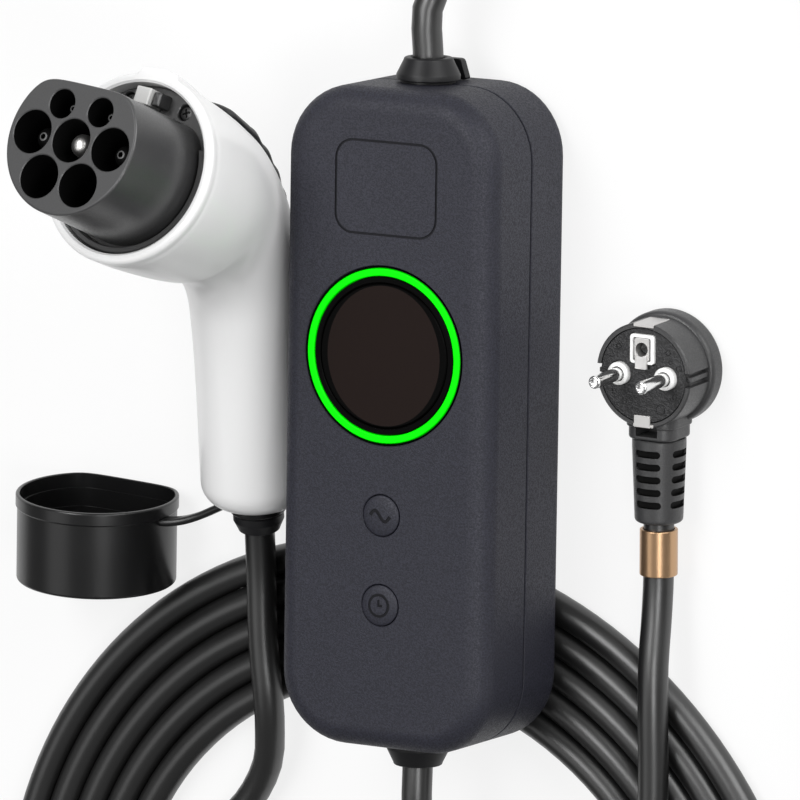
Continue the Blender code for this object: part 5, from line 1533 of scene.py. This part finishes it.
    def relief(self, share: float, angle: float) -> float:
        """How far the groove behind the rim and the land over the catch stand off the skin.

        Args:
            share: How far along the middle line.
            angle: The angle from the outer side of the bend.

        Returns:
            The offset.
        """
        away = abs(math.remainder(angle, TURN))
        across = min(max((self.land_half_angle - away) / self.land_edge, 0.0), 1.0)
        along = min(max((self.land_length - share) / self.land_length, 0.0), 1.0)
        land = self.land_height * across * across * (3 - 2 * across) * along ** 0.7
        near = max(0.0, 1.0 - abs(share - self.groove_place) / self.groove_width)
        return land - self.groove_depth * near * (1.0 - across)

    def shell(self) -> None:
        """Mould the white shell round its middle line, and cut the nose's pocket into it."""
        corners = 8
        rows = 2 * corners + self.rings

        def place(across: float, along: float) -> Vector:
            """A point of the shell.

            Args:
                across: The share across.
                along: The share along.

            Returns:
                The point.
            """
            row = round(along * rows)
            angle = TURN * across
            if row <= corners:
                lean = QUARTER * row / corners
                inset = self.rim_round * (math.sin(lean) - 1) + self.relief(0.0, angle)
                rise = self.rim_round * math.cos(lean)
                return self.surface(0.0, angle, inset) + Vector((0, 0, rise))
            if row <= corners + self.rings:
                share = ((row - corners) / self.rings) ** self.ring_bias
                return self.surface(share, angle, self.relief(share, angle))
            lean = QUARTER * (row - corners - self.rings) / corners
            inset = self.end_round * (math.cos(lean) - 1)
            return (self.surface(1.0, angle, inset)
                    + self.end_round * math.sin(lean) * self.handle_line())

        shell = Form.skin("white_connector_shell", self.columns, rows, place)
        floor = self.flange_top - self.flange_thickness - 2 * GAP - self.retainer_thickness
        recess, edge = self.recess_radius, self.recess_edge
        pocket = [(0.0, floor), (recess, floor), (recess, self.rim_round - edge),
                  (recess + edge, self.rim_round), (recess + edge, 10 * PAST), (0.0, 10 * PAST)]
        shell.cut(Form.turned("pocket", pocket, sides=160))
        bore = Form.drum("bore", self.gland_shank + GAP, -self.gland_shank_depth - GAP, 20 * PAST)
        shell.cut(bore.moved(self.frame().inverted() @ self.tail_frame()))
        shell.shown(Finishes.WHITE, "gun_shell", frame=self.frame())

    def ways(self) -> dict[str, tuple[Point, float]]:
        """Lay out the nose's ways.

        Returns:
            Each way's place and radius by its contact's name.
        """
        x, y = self.lower_pair
        u, v = self.upper_pair
        return {
            "earth_contact": ((0.0, 0.0), self.power_way),
            "line_contact": ((-self.power_row, 0.0), self.power_way),
            "neutral_contact": ((self.power_row, 0.0), self.power_way),
            "spare_left": ((-x, y), self.power_way),
            "spare_right": ((x, y), self.power_way),
            "proximity_contact": ((-u, v), self.signal_way),
            "pilot_contact": ((u, v), self.signal_way),
        }

    def housing(self) -> None:
        """Mould the grey nose with its seven ways on the round flange with its collar."""
        top = self.flange_top + self.nose_length
        edge = self.nose_edge
        profile = [*arc((edge, top - edge), edge, 0.0, -QUARTER),
                   (0.0, self.flange_top - self.flange_thickness / 2)]
        nose = Form.d_turned("grey_contact_housing", self.nose_radius, self.nose_flat, profile)
        flange, low = self.flange_top, self.flange_top - self.flange_thickness
        outer = self.recess_radius - GAP
        nose.fused(Form.turned("flange", [
            (0.0, low), (outer, low), (outer, flange - GAP), (outer - GAP, flange),
            (0.0, flange)], sides=160))
        edge = self.collar_edge
        outer -= edge
        inner, ledge = outer - self.collar_width, flange + self.collar_height
        collar = Form.turned("collar", [
            (inner, flange - 0.002), (inner, ledge - edge), (inner + edge, ledge),
            (outer - edge, ledge), (outer, ledge - edge), (outer, flange - 0.002),
        ], closed=True, sides=160)
        breadth, reach = self.gap_size
        gap = Form.slab("gap", (breadth, reach), 0.001, flange, flange + 10 * PAST)
        nose.fused(collar.cut(gap.at(0, self.collar_opening + reach / 2, 0)))
        width, depth, _ = self.catch_size
        x, y = self.catch_place
        breadth, reach, rise = self.guide_size
        guide = Form.slab("guide", (breadth, reach), 0.0005, flange - 0.001, flange + rise,
                          0.0007, steps=3)
        nose.fused(guide.at(x + (width + breadth) / 2 + GAP, y, 0))
        floor = top - self.way_depth
        nose.cut(*(Form.drum("way", radius, floor, top - self.way_edge, self.way_edge)
                   .at(x, y, 0) for (x, y), radius in self.ways().values()))
        x, y = self.screw_place
        sink = flange - self.screw_sink - 0.003
        nose.cut(*(Form.drum("sink", self.screw_head + GAP, sink, flange - GAP, GAP)
                   .at(sign * x, y, 0) for sign in (-1, 1)))
        seat = Form.slab("seat", (width + 2 * GAP, depth + 2 * GAP), 0.0009,
                         flange - 0.002 - GAP / 2, flange + 10 * PAST)
        nose.cut(seat.at(*self.catch_place, 0))
        inner = [(x, y, radius) for (x, y), radius in self.ways().values()]

        def in_way(middle: Vector) -> bool:
            """Whether a face is in one of the ways."""
            return middle.z < top - 0.0004 and any(
                math.hypot(middle.x - x, middle.y - y) < radius + 0.0001
                for x, y, radius in inner) and middle.z > floor - 0.0001

        # Painted shade: the faces inside the ways get the near-black way colour.
        nose.painted(in_way)
        # Painted light: the front face gets the lighter copy of the housing's grey.
        nose.painted(lambda middle: middle.z > top - 0.0002, 2)
        nose.shown((Finishes.HOUSING, Finishes.WAY, Finishes.NOSE_FACE_LIT), "contact_housing",
                   frame=self.frame())

    def contacts(self) -> None:
        """Set the contacts in their ways: a bright earth pin, the others with tips in painted
        shade.
        """
        top = self.flange_top + self.nose_length
        floor = top - self.way_depth + GAP
        for name, ((x, y), way) in self.ways().items():
            if name.startswith("spare"):
                continue
            earth, signal = name == "earth_contact", way == self.signal_way
            radius = self.contact_radii[0 if earth else 1 if signal else 2]
            tip = top - self.contact_sinks[0 if earth else 1]
            dome = arc((0.0, tip - radius), radius, 0.0, QUARTER, 12)
            wider, flange, shoulder = self.contact_flange
            foot = [(radius, floor + shoulder), (radius + wider, floor + flange),
                    (radius + wider, floor), (0.0, floor)]
            frame = self.frame() @ Matrix.Translation((x, y, 0))
            pin = Form.turned(f"{name}_pin", dome + foot, sides=64)
            if earth:
                pin.shown(Finishes.CONTACT, name, frame=frame)
                continue
            hole = self.contact_holes[0 if signal else 1]
            edge = self.hole_ring * hole
            pin.cut(Form.drum("hole", hole, tip - self.hole_depth, tip + PAST, sides=32))
            # Painted shade: the tip is coloured like the shaded ways, and only a ring round its
            # hole keeps the darkened copy of the silvered contact.
            pin.painted(lambda middle: not hole < math.hypot(middle.x, middle.y) < edge)
            pin.shown((Finishes.TIP_SHADE, Finishes.WAY), name, frame=frame)

    def fittings(self) -> None:
        """Set the locking catch and the flange screws."""
        width, depth, rise = self.catch_size
        foot = self.flange_top - 0.002 + GAP / 2
        catch = Form.slab("bright_locking_catch", (width, depth), 0.0006, foot,
                          self.flange_top + rise, 0.0006, steps=4)
        catch.at(*self.catch_place, 0).shown(Finishes.CATCH, "locking_catch", frame=self.frame())
        for side, sign in (("left", -1), ("right", 1)):
            x, y = self.screw_place
            place = Matrix.Translation((sign * x, y, self.flange_top - self.screw_sink))
            screw = cross_screw(f"{side}_flange_screw", self.screw_head, self.screw_head_height,
                                self.screw_shank, self.screw_length)
            screw.shown(Finishes.DARK_STEEL, f"flange_screw_{side}", frame=self.frame() @ place)

    def pad(self) -> None:
        """Mould the rubber thumb pad, thin at its edge and crossed by soft ridges."""
        start, end = self.pad_range
        rows, columns = self.pad_rows, self.pad_columns
        first, last = self.ridge_range

        def skin(outer: bool) -> Callable[[float, float], Vector]:
            """The pad's outer skin, or the inner one.

            Args:
                outer: Whether it is the outer one.

            Returns:
                The function that gives its points.
            """
            def place(across: float, along: float) -> Vector:
                """A point of the skin.

                Args:
                    across: The share across.
                    along: The share along.

                Returns:
                    The point.
                """
                spread = self.pad_half_angle * math.sin(math.pi * (0.16 + 0.68 * along)) ** 0.5
                rise = min(1.0, 6 * min(across, 1 - across)) * min(1.0, 14 * min(along, 1 - along))
                ridge = (self.ridge_height * math.cos(TURN * self.ridges * along)
                         if first < along < last else 0.0)
                lift = (self.pad_thickness - 0.0003 + ridge) * math.sin(rise * QUARTER) ** 0.6
                return self.surface(start + (end - start) * along, (2 * across - 1) * spread,
                                    GAP + (lift if outer else 0.0))
            return place

        pad = Form.skin("rubber_thumb_pad", columns, rows, skin(True), capped=False)
        inner = Form.skin("inner", columns, rows, skin(False), capped=False)
        pad.with_all([inner])
        bmesh.ops.remove_doubles(pad.mesh, verts=pad.mesh.verts, dist=1e-6)
        pad.shown(Finishes.RUBBER, "thumb_pad", frame=self.frame(), sharp=60.0)

    def gland(self) -> None:
        """Set the tapered gland at the handle's end."""
        floor = self.ring_thickness + 2 * GAP
        tip = floor + self.gland_length
        flange, shank, depth = self.gland_flange, self.gland_shank, self.gland_shank_depth
        profile = [
            *lead_mouth(tip, 0.0004), *rim(self.gland_tip, tip, self.gland_round),
            (flange - 0.0002, floor + 0.0034), (flange, floor + 0.0030),
            (flange, floor + 0.0006), (flange - 0.0006, floor), (shank, floor),
            (shank, -depth), (0.0, -depth),
        ]
        Form.turned("connector_gland", profile).shown(Finishes.RUBBER, "gun_gland",
                                                      frame=self.tail_frame())

    def build(self) -> None:
        """Build the whole connector."""
        self.shell()
        self.housing()
        self.contacts()
        self.fittings()
        self.pad()
        self.gland()


@dataclass
class DustCap:
    """The black rubber cap of the connector, its strap and the ring on the handle."""

    place: Point = (-0.1155, -0.0435, 0.02379)
    tilt: float = math.radians(-90.0 + 1.228)
    yaw: float = math.radians(-2.0)
    wall: float = 0.0017
    clearance: float = 0.0004
    length: float = 0.033
    floor: float = 0.0025
    bead: float = 0.0006
    bead_length: float = 0.005
    bead_round: float = 0.0008
    corner_round: float = 0.0012
    lip_step: float = 0.0004
    lips: Point = (0.0055, 0.0125)
    ring_wall: float = 0.0028
    ring_round: float = 0.0009
    strap_thickness: float = 0.0029
    strap_width: float = 0.0072
    strap: tuple[Point, ...] = (
        (-0.0568, -0.0402, 0.0204),
        (-0.0605, -0.0416, 0.0204),
        (-0.0660, -0.0444, 0.0206),
        (-0.0720, -0.0474, 0.0213),
        (-0.0780, -0.0496, 0.0227),
        (-0.0833, -0.0506, 0.0240),
        (-0.0867, -0.0508, 0.0244),
    )

    def build(self, connector: VehicleConnector) -> None:
        """Mould the cap for a connector's nose.

        Args:
            connector: The connector.
        """
        radius = connector.nose_radius + self.clearance + self.wall
        flat = connector.nose_flat + self.clearance + self.wall
        first, second = self.wall - self.lip_step, self.wall - 2 * self.lip_step
        edge, corner, level = self.bead_round, self.corner_round, -self.length
        bead = [*arc((-self.bead + edge, -edge), edge, 0.0, -QUARTER),
                (-self.bead, -self.bead_length + 0.0005), (0.0, -self.bead_length - 0.0002)]
        foot = [(corner - y, level + corner - x)
                for x, y in arc((0.0, 0.0), corner, 0.0, QUARTER)]
        deep, near = (-lip for lip in reversed(self.lips))
        inside = [(self.wall, self.floor - self.length), (self.wall, deep),
                  (first, deep + 0.0001), (first, near), (second, near + 0.0001),
                  (second, -GAP), (second - GAP, 0.0)]
        cap = Form.d_turned("rubber_dust_cap", radius, flat, inside + bead + foot)
        cap.moved(posed(self.place, (self.tilt, 0.0, self.yaw)))
        inner = connector.gland_shank + GAP
        outer = inner + self.ring_wall
        half = connector.ring_thickness / 2
        profile = [(inner, -half + 0.0002), (inner, half - 0.0002),
                   *rim(outer, half, self.ring_round), *foot_round(outer, half, self.ring_round)]
        ring = Form.turned("ring", profile, closed=True)
        ring.moved(connector.tail_frame() @ Matrix.Translation((0, 0, GAP + half)))
        route = smooth_route([LAYOUT + Vector(point) for point in self.strap], 0.0015)
        strap = Form.tube("strap", route, self.strap_thickness / 2,
                          self.strap_width - self.strap_thickness)
        cap.fused(ring, strap)
        cap.shown(Finishes.CAP, "dust_cap")


# Mains plug


@dataclass
class MainsPlug:
    """The round angled plug, its boot and the band on its lead."""

    place: Point = (0.1145, 0.0263)
    depth: float = 0.023
    radius: float = 0.0192
    base_radius: float = 0.0208
    base_depth: float = 0.0090
    base_round: float = 0.0022
    guide_width: float = 0.0052
    guide_depth: float = 0.0022
    rib_width: float = 0.0018
    neck_length: float = 0.0245
    neck_side: float = 0.0192
    face_radius: float = 0.0172
    face_thickness: float = 0.003
    marks: tuple[Point, ...] = (
        (0.0102, 0.0094, 0.0011), (0.0112, 0.0060, 0.0008), (0.0146, 0.0040, 0.0012),
        (-0.0100, 0.0098, 0.0011), (-0.0118, -0.0070, 0.0010), (-0.0076, -0.0100, 0.0011),
        (0.0128, -0.0066, 0.0010), (0.0072, -0.0118, 0.0019),
    )
    pin_radius: float = 0.0024
    pin_length: float = 0.019
    pin_spacing: float = 0.019
    pin_round: float = 0.0008
    pin_mouth: Point = (0.0012, 0.0012)
    collar_radius: float = 0.0042
    collar_height: float = 0.0022
    collar_round: float = 0.0009
    earth_size: Point = (0.0098, 0.0108)
    earth_rise: float = 0.0012
    earth_place: float = 0.0098
    clip_width: float = 0.0082
    clip_thickness: float = 0.0012
    clip_length: float = 0.0120
    boot_length: float = 0.031
    boot_radii: Point = (0.0098, 0.0088)
    boot_rows: int = 5
    boot_slot: Point = (0.0026, 0.0021, 0.0100)
    boot_plain_end: float = 0.0075
    boot_round: float = 0.0016
    axis_height: float = 0.0108
    band_length: float = 0.017
    band_wall: float = 0.0011
    band_share: float = 0.62
    straight_length: float = 0.024
    pieces: list[bpy.types.Object] = field(default_factory=list)

    def frame(self) -> Matrix:
        """The plug's frame: the middle of its back, the pins along +Z."""
        return Matrix.Translation(LAYOUT + Vector((*self.place, 0.0)))

    def boot_frame(self) -> Matrix:
        """The frame of the neck and boot: +Z away from the plug's body."""
        lift = Matrix.Translation((0, 0, self.axis_height))
        return self.frame() @ lift @ Matrix.Rotation(QUARTER, 4, "X")

    def lead_end(self) -> list[Vector]:
        """The lead's straight end in the boot, from inside to outside, in the layout."""
        reach = self.neck_length + self.boot_length - LEAD_SEAT + 2 * GAP
        return [Vector((self.place[0], self.place[1] - reach - extra, self.axis_height))
                for extra in (0.0, self.straight_length)]

    def keep(self, form: Form, look: Finish | Sequence[Finish], *nodes: str,
             frame: Matrix | None = None) -> None:
        """Show a form as one of the pieces that go with the plug's lead."""
        frame = self.frame() if frame is None else frame
        self.pieces.append(form.shown(look, *nodes, frame=frame))

    def body(self) -> None:
        """Mould the body: barrel, base, side guides, clip slots and squared neck."""
        top, edge = self.depth, 0.0005
        base, low = self.base_round, self.base_depth
        curve = arc((self.base_radius - base, 0.0), base, 0.0, QUARTER)
        profile = [(0.0, top), (self.radius - edge, top), (self.radius, top - edge),
                   (self.radius, low - 0.0002), *((x, low - base + y) for x, y in curve[2:]),
                   *((x, GAP + base - y) for x, y in reversed(curve)), (0.0, GAP)]
        body = Form.turned("plug_moulding", profile, sides=160)
        neck = Form.slab("neck", (self.neck_side, self.neck_side), 0.0058, 0.004,
                         self.neck_length, 0.0009, steps=4)
        step = Form.slab("step", (self.neck_side + 0.0012, self.neck_side + 0.0010), 0.0058,
                         0.004, self.neck_length - 0.0045, 0.0005, steps=3)
        to_body = self.frame().inverted() @ self.boot_frame()
        body.fused(neck.moved(to_body), step.moved(to_body))
        width = self.clip_width + 2 * GAP
        reach = self.clip_thickness + 0.0042
        cutters = [Form.slab("guide", (2 * self.guide_depth, self.guide_width), 0.0004,
                             self.base_depth, 2 * top).at(sign * self.radius, 0, 0)
                   for sign in (-1, 1)]
        cutters += [Form.slab("clip_slot", (width, reach), 0.0003, top - self.clip_length - GAP,
                              2 * top).at(0, sign * (self.radius + 0.0021 - GAP
                                                     - self.clip_thickness / 2), 0)
                    for sign in (-1, 1)]
        cutters.append(Form.drum("well", self.face_radius + GAP,
                                 top - self.face_thickness - GAP, 2 * top, sides=160))
        for cutter in cutters:
            body.cut(cutter)
        for sign in (-1, 1):
            rib = Form.slab("rib", (self.guide_depth, self.rib_width), 0.0003,
                            self.base_depth - 0.0005, top - 0.0015, 0.0004, steps=3)
            body.fused(rib.at(sign * (self.radius - 0.7 * self.guide_depth), 0, 0))
        self.keep(body, Finishes.PLUG, "plug_body")

    def face(self) -> None:
        """Mould the rough face with its moulded marks."""
        top, low = self.depth, self.depth - self.face_thickness
        face = Form.turned("rough_plug_face", [
            (0.0, top), (self.face_radius - 0.0002, top), (self.face_radius, top - 0.0002),
            (self.face_radius, low), (0.0, low)], sides=160)
        width, height = self.earth_size
        way = Form.slab("way", (width + 2 * GAP, height + 2 * GAP), 0.0012, low - PAST,
                        top + PAST)
        face.cut(way.at(0, self.earth_place, 0))
        face.cut(*(Form.drum("way", self.collar_radius + GAP, low - PAST, top + PAST)
                   .at(sign * self.pin_spacing / 2, 0, 0) for sign in (-1, 1)))
        for x, y, radius in self.marks:
            inner = radius - GAP
            face.cut(Form.turned("mark", [
                (radius, top - GAP), (radius, top + PAST), (inner, top + PAST),
                (inner, top - GAP)], closed=True, sides=32).at(x, y, 0))
        self.keep(face, Finishes.PLUG_FACE, "plug_face")

    def pins(self) -> None:
        """Set the two bright hollow-tipped pins in their white collars."""
        low = self.depth - self.face_thickness
        tip = self.depth + self.pin_length
        mouth, floor = self.pin_mouth
        pin = [(0.0, tip - floor), (mouth, tip - floor), (mouth + 0.0002, tip - 0.0001),
               *rim(self.pin_radius, tip, self.pin_round),
               (self.pin_radius, low - 0.006), (0.0, low - 0.006)]
        high, inner = self.depth + self.collar_height, self.pin_radius
        collar = [(inner + GAP, low), (inner + GAP, high - 0.0002), (inner + 0.0005, high),
                  *rim(self.collar_radius, high, self.collar_round), (self.collar_radius, low)]
        for side, sign in (("line", -1), ("neutral", 1)):
            frame = self.frame() @ Matrix.Translation((sign * self.pin_spacing / 2, 0, 0))
            self.keep(Form.turned(f"{side}_plug_pin", pin, sides=64), Finishes.PIN,
                      f"{side}_pin", frame=frame)
            self.keep(Form.turned(f"{side}_white_collar", collar, closed=True, sides=64),
                      Finishes.COLLAR, f"{side}_pin_collar", frame=frame)

    def earth(self) -> None:
        """Set the white frame, the metal plate with its hole and screw, and the side clips."""
        frame = self.frame() @ Matrix.Translation((0, self.earth_place, 0))
        low, high = self.depth - self.face_thickness, self.depth + self.earth_rise
        width, height = self.earth_size
        ring = Form.slab("white_earth_frame", (width, height), 0.0013, low, high, 0.0004, steps=3)
        ring.cut(Form.slab("opening", (width - 0.0024, height - 0.0022), 0.0008, low - PAST,
                           high + PAST))
        self.keep(ring, Finishes.COLLAR, "earth_frame", frame=frame)
        plate = Form.slab("earth_plate", (width - 0.0036, height - 0.0026), 0.0010,
                          high - 0.0010, high - 0.0001, 0.0002, steps=2)
        tab = Form.slab("tab", (0.0048, 0.0052), 0.0004, high - 0.0002, high + 0.0006, 0.0002,
                        steps=2)
        plate.fused(tab.at(0, -0.0046, 0))
        plate.cut(Form.drum("hole", 0.0025, low, high + PAST, sides=64))
        self.keep(plate, Finishes.EARTH, frame=frame)
        sleeve = [(0.0, low - 0.006), (0.0026, low - 0.006), (0.0026, high - 0.0012),
                  (0.0036, high - 0.0012), (0.0036, low - 0.0077), (0.0, low - 0.0077)]
        self.keep(Form.turned("earth_socket_sleeve", sleeve, sides=64), Finishes.EARTH,
                  "earth_sleeve", frame=frame)
        screw = Form.turned("slotted_earth_screw", [
            (0.0, high - 0.0030), (0.0018, high - 0.0030), (0.0023, high - 0.0036),
            (0.0023, high - 0.0060), (0.0, high - 0.0060)], sides=48)
        screw.cut(Form.slab("slot", (0.006, 0.0007), 0.0001, high - 0.0038, high).moved(
            Matrix.Rotation(0.5, 4, "Z")))
        self.keep(screw, Finishes.DARK_STEEL, frame=frame)
        for side, sign in (("upper", 1), ("lower", -1)):
            middle = sign * (self.radius - GAP - self.clip_thickness / 2)
            clip = Form.slab(f"{side}_side_clip", (self.clip_width, self.clip_thickness), 0.0003,
                             self.depth - self.clip_length, self.depth - 0.0002)
            if sign < 0:
                lip = Form.slab("lip", (self.clip_width - 0.0016, 0.0044), 0.0004,
                                self.depth + 0.0001, self.depth + 0.0008, 0.0002, steps=2)
                clip.fused(Form.slab("bend", (self.clip_width - 0.0016, self.clip_thickness),
                                     0.0003, self.depth - 0.002, self.depth + 0.0006))
                clip.fused(lip.at(0, 0.0016, 0))
            self.keep(clip.at(0, middle, 0), Finishes.EARTH, f"{side}_earth_clip")

    def boot(self) -> None:
        """Mould the bend relief with its rows of rounded slots."""
        start, wide, narrow = self.neck_length + GAP, *self.boot_radii
        end = start + self.boot_length
        profile = [(0.0, end - LEAD_SEAT), (LEAD_BORE, end - LEAD_SEAT), (LEAD_BORE, end),
                   *rim(narrow, end, self.boot_round), (wide, start + 0.003),
                   (wide, start + 0.0004), (wide - 0.0004, start), (0.0, start)]
        boot = Form.turned("slotted_boot", profile)
        pitch = (self.boot_length - self.boot_plain_end) / self.boot_rows
        row_width, slot_depth, span = self.boot_slot
        slots = []
        for row in range(self.boot_rows):
            height = start + pitch * (row + 1)
            reach = wide + (narrow - wide) * (height - start) / self.boot_length - slot_depth
            for quarter in range(4):
                slot = Form.slab("slot", (span, row_width), row_width * 0.45, reach, 2 * wide)
                turn = Matrix.Rotation(quarter * QUARTER, 4, "Z")
                lay = Matrix.Rotation(QUARTER, 4, "X")
                slots.append(slot.moved(Matrix.Translation((0, 0, height)) @ turn @ lay))
        boot.cut(*slots)

        def in_slot(middle: Vector) -> bool:
            """Whether a face is in one of the slots.

            Args:
                middle: The face's middle.

            Returns:
                Whether it is.
            """
            outer = wide + (narrow - wide) * (middle.z - start) / self.boot_length
            reach = math.hypot(middle.x, middle.y)
            return (start + 0.003 < middle.z < end - 0.003
                    and LEAD_BORE < reach < outer - 0.0004)

        # Painted shade: the slots' floors and walls get the near-black slot colour.
        boot.painted(in_slot)
        self.keep(boot, (Finishes.PLUG, Finishes.SLOT), "plug_boot", frame=self.boot_frame())

    def band(self, line: Sequence[Vector]) -> None:
        """Set the bronze band on the lead.

        Args:
            line: The lead's first two route points, in the frame.
        """
        way = (line[1] - line[0]).normalized()
        middle = line[0] + way * self.band_share * self.straight_length
        inner = LEAD_RADIUS + GAP
        outer, half, edge = inner + self.band_wall, self.band_length / 2, 0.0004
        profile = [(inner, -half), (inner, half), *rim(outer, half, edge),
                   *foot_round(outer, half, edge)]
        turn = way.to_track_quat("Z", "Y").to_matrix().to_4x4()
        self.keep(Form.turned("bronze_lead_band", profile, closed=True), Finishes.BRONZE,
                  "cable_band", frame=Matrix.Translation(middle) @ turn)

    def build(self) -> None:
        """Build the whole plug."""
        self.body()
        self.face()
        self.pins()
        self.earth()
        self.boot()


# Leads


@dataclass
class Leads:
    """The two black leads: one to the vehicle connector, one to the mains plug."""

    coil_centre: Point = (0.008, -0.224)
    coil_inner: float = 0.119
    coil_flattening: float = 0.038
    coil_first_turn: float = 0.1164
    coil_start: float = math.radians(189)
    coil_end: float = math.radians(350)
    coil_turns: int = 5
    turn_pitch: float = 0.011
    points_in_turn: int = 72
    lie_height: float = 0.0058
    straight_length: float = 0.024
    spacing: float = 0.007
    sides: int = 9
    gun_exit: tuple[Point, Point] = ((-0.0478, -0.0453, 0.0206), (-0.0482, -0.0532, 0.0191))
    gun_route: tuple[Point, ...] = (
        (-0.0488, -0.0690, 0.0172),
        (-0.0485, -0.0840, 0.0172),
        (-0.0476, -0.0990, 0.0172),
        (-0.0462, -0.1130, 0.0170),
        (-0.0470, -0.1260, 0.0145),
        (-0.0510, -0.1410, 0.0095),
        (-0.0600, -0.1560, 0.0062),
        (-0.0725, -0.1700, 0.0058),
        (-0.0850, -0.1850, 0.0058),
        (-0.0955, -0.2010, 0.0058),
        (-0.1022, -0.2170, 0.0058),
    )
    box_route: tuple[Point, ...] = (
        (0.1880, -0.2300, 0.0058),
        (0.1886, -0.2000, 0.0058),
        (0.1888, -0.1500, 0.0058),
        (0.1888, -0.0900, 0.0058),
        (0.1888, -0.0300, 0.0058),
        (0.1888, 0.0300, 0.0058),
        (0.1888, 0.0850, 0.0058),
        (0.1882, 0.1250, 0.0058),
        (0.1845, 0.1560, 0.0058),
        (0.1715, 0.1795, 0.0058),
        (0.1510, 0.1930, 0.0058),
        (0.1260, 0.1985, 0.0058),
        (0.1000, 0.1980, 0.0058),
        (0.0740, 0.1935, 0.0062),
        (0.0530, 0.1845, 0.0092),
        (0.0375, 0.1705, 0.0158),
    )
    plug_route: tuple[Point, ...] = (
        (0.1148, -0.0660, 0.0128),
        (0.1154, -0.0820, 0.0160),
        (0.1160, -0.1000, 0.0172),
        (0.1163, -0.1200, 0.0172),
        (0.1160, -0.1420, 0.0172),
        (0.1148, -0.1640, 0.0172),
        (0.1110, -0.1840, 0.0155),
        (0.1030, -0.2030, 0.0115),
        (0.0900, -0.2170, 0.0074),
        (0.0740, -0.2230, 0.0060),
        (0.0580, -0.2200, 0.0066),
        (0.0440, -0.2090, 0.0110),
        (0.0345, -0.1930, 0.0220),
        (0.0312, -0.1750, 0.0345),
    )

    def coil_point(self, angle: float, reach: float) -> Vector:
        """A point on the coil's plan, whose lower half is flattened to an oval.

        Args:
            angle: Its angle from +X.
            reach: Its distance from the middle where the coil is round.

        Returns:
            The point, from the coil's middle.
        """
        wide = self.coil_inner
        flat = wide - self.coil_flattening if math.sin(angle) < 0 else wide
        outward = Vector((flat * math.cos(angle), wide * math.sin(angle), 0.0)).normalized()
        edge = Vector((wide * math.cos(angle), flat * math.sin(angle), 0.0))
        return edge + (reach - wide) * outward

    def coil(self) -> list[Vector]:
        """The turns that lie side by side, from the innermost outwards.

        Returns:
            Points along the turns.
        """
        sweep = self.coil_turns * TURN + self.coil_end - self.coil_start
        count = round(self.points_in_turn * sweep / TURN)
        points = []
        for step in range(count + 1):
            angle = sweep * step / count
            reach = self.coil_first_turn + self.turn_pitch * angle / TURN
            points.append(Vector((*self.coil_centre, self.lie_height))
                          + self.coil_point(self.coil_start + angle, reach))
        return points

    def tube(self, name: str, points: Sequence[Vector],
             replaced: Sequence[str]) -> bpy.types.Object:
        """Lay one lead as a round tube with closed ends.

        Args:
            name: The piece's name.
            points: The points of its middle line, in the frame.
            replaced: The CAD nodes that it stands for.

        Returns:
            The lead's object.
        """
        radius = LEAD_RADIUS / math.cos(math.pi / (4 + 2 * self.sides))
        lead = tube_curve(name, points, radius, self.sides)
        lead.data.splines[0].use_smooth = True
        lead.data.materials.append(Finishes.JACKET.material())
        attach(lead, Body.CHARGER.value)
        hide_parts(*replaced)
        LOG.info("%s: %.3f m", name, route_length(points))
        return lead

    def gland_end(self, box: Matrix, reach: float, seam: float, sign: int) -> list[Vector]:
        """The lead's straight end in the box's upper or lower gland, from outside to inside."""
        return [box @ Vector((0.0, sign * (reach + extra), seam))
                for extra in (self.straight_length, 0.0)]

    def build(self, box: ControlBox, plug: MainsPlug) -> None:
        """Args:
            box: The control box, which both leads end in.
            plug: The mains plug, which goes with its lead.
        """
        reach = box.height / 2 + box.gland_height - LEAD_SEAT + GAP
        frame = box.frame()
        free = [LAYOUT + Vector(point) for point in (*self.gun_exit, *self.gun_route)]
        wound = [LAYOUT + point for point in self.coil()]
        back = [LAYOUT + Vector(point) for point in self.box_route]
        ended = self.gland_end(frame, reach, box.seam, 1)
        line = smooth_route([*free, *wound, *back, *ended], self.spacing)
        lead = self.tube("vehicle_lead", line, ("ev_lead_gun", "ev_lead_coil", "ev_lead_box"))
        round(route_length(line), 2)
        starts = [LAYOUT + Vector(point) for point in plug.lead_end()]
        plug.band(starts)
        middle = [LAYOUT + Vector(point) for point in self.plug_route]
        ended = self.gland_end(frame, reach, box.seam, -1)
        line = smooth_route([*starts, *middle, *ended], self.spacing)
        lead = self.tube("mains_lead", line, ("plug_lead",))
        round(route_length(line), 3)
        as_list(plug.pieces)


def dress_frame_nodes(frame: dict[str, object]) -> None:
    """Give every CAD node the finish of its slot.
    """
    finishes = Finishes.by_slot()
    for entry in frame["record"]["subparts"]:
        node = frame["nodes"][entry["node"]]
        node.data.materials.clear()
        node.data.materials.append(finishes[entry["material_slot"]].material())


def main() -> None:
    """Build the charger around its frame, sub-assembly by sub-assembly."""
    logging.basicConfig(level=logging.INFO, format="%(name)s: %(message)s")
    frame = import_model()
    Studio().build()
    dress_frame_nodes(frame)
    box, connector, plug = ControlBox(), VehicleConnector(), MainsPlug()
    box.build()
    connector.build()
    DustCap().build(connector)
    plug.build()
    Leads().build(box, plug)


if __name__ == "__main__":
    main()
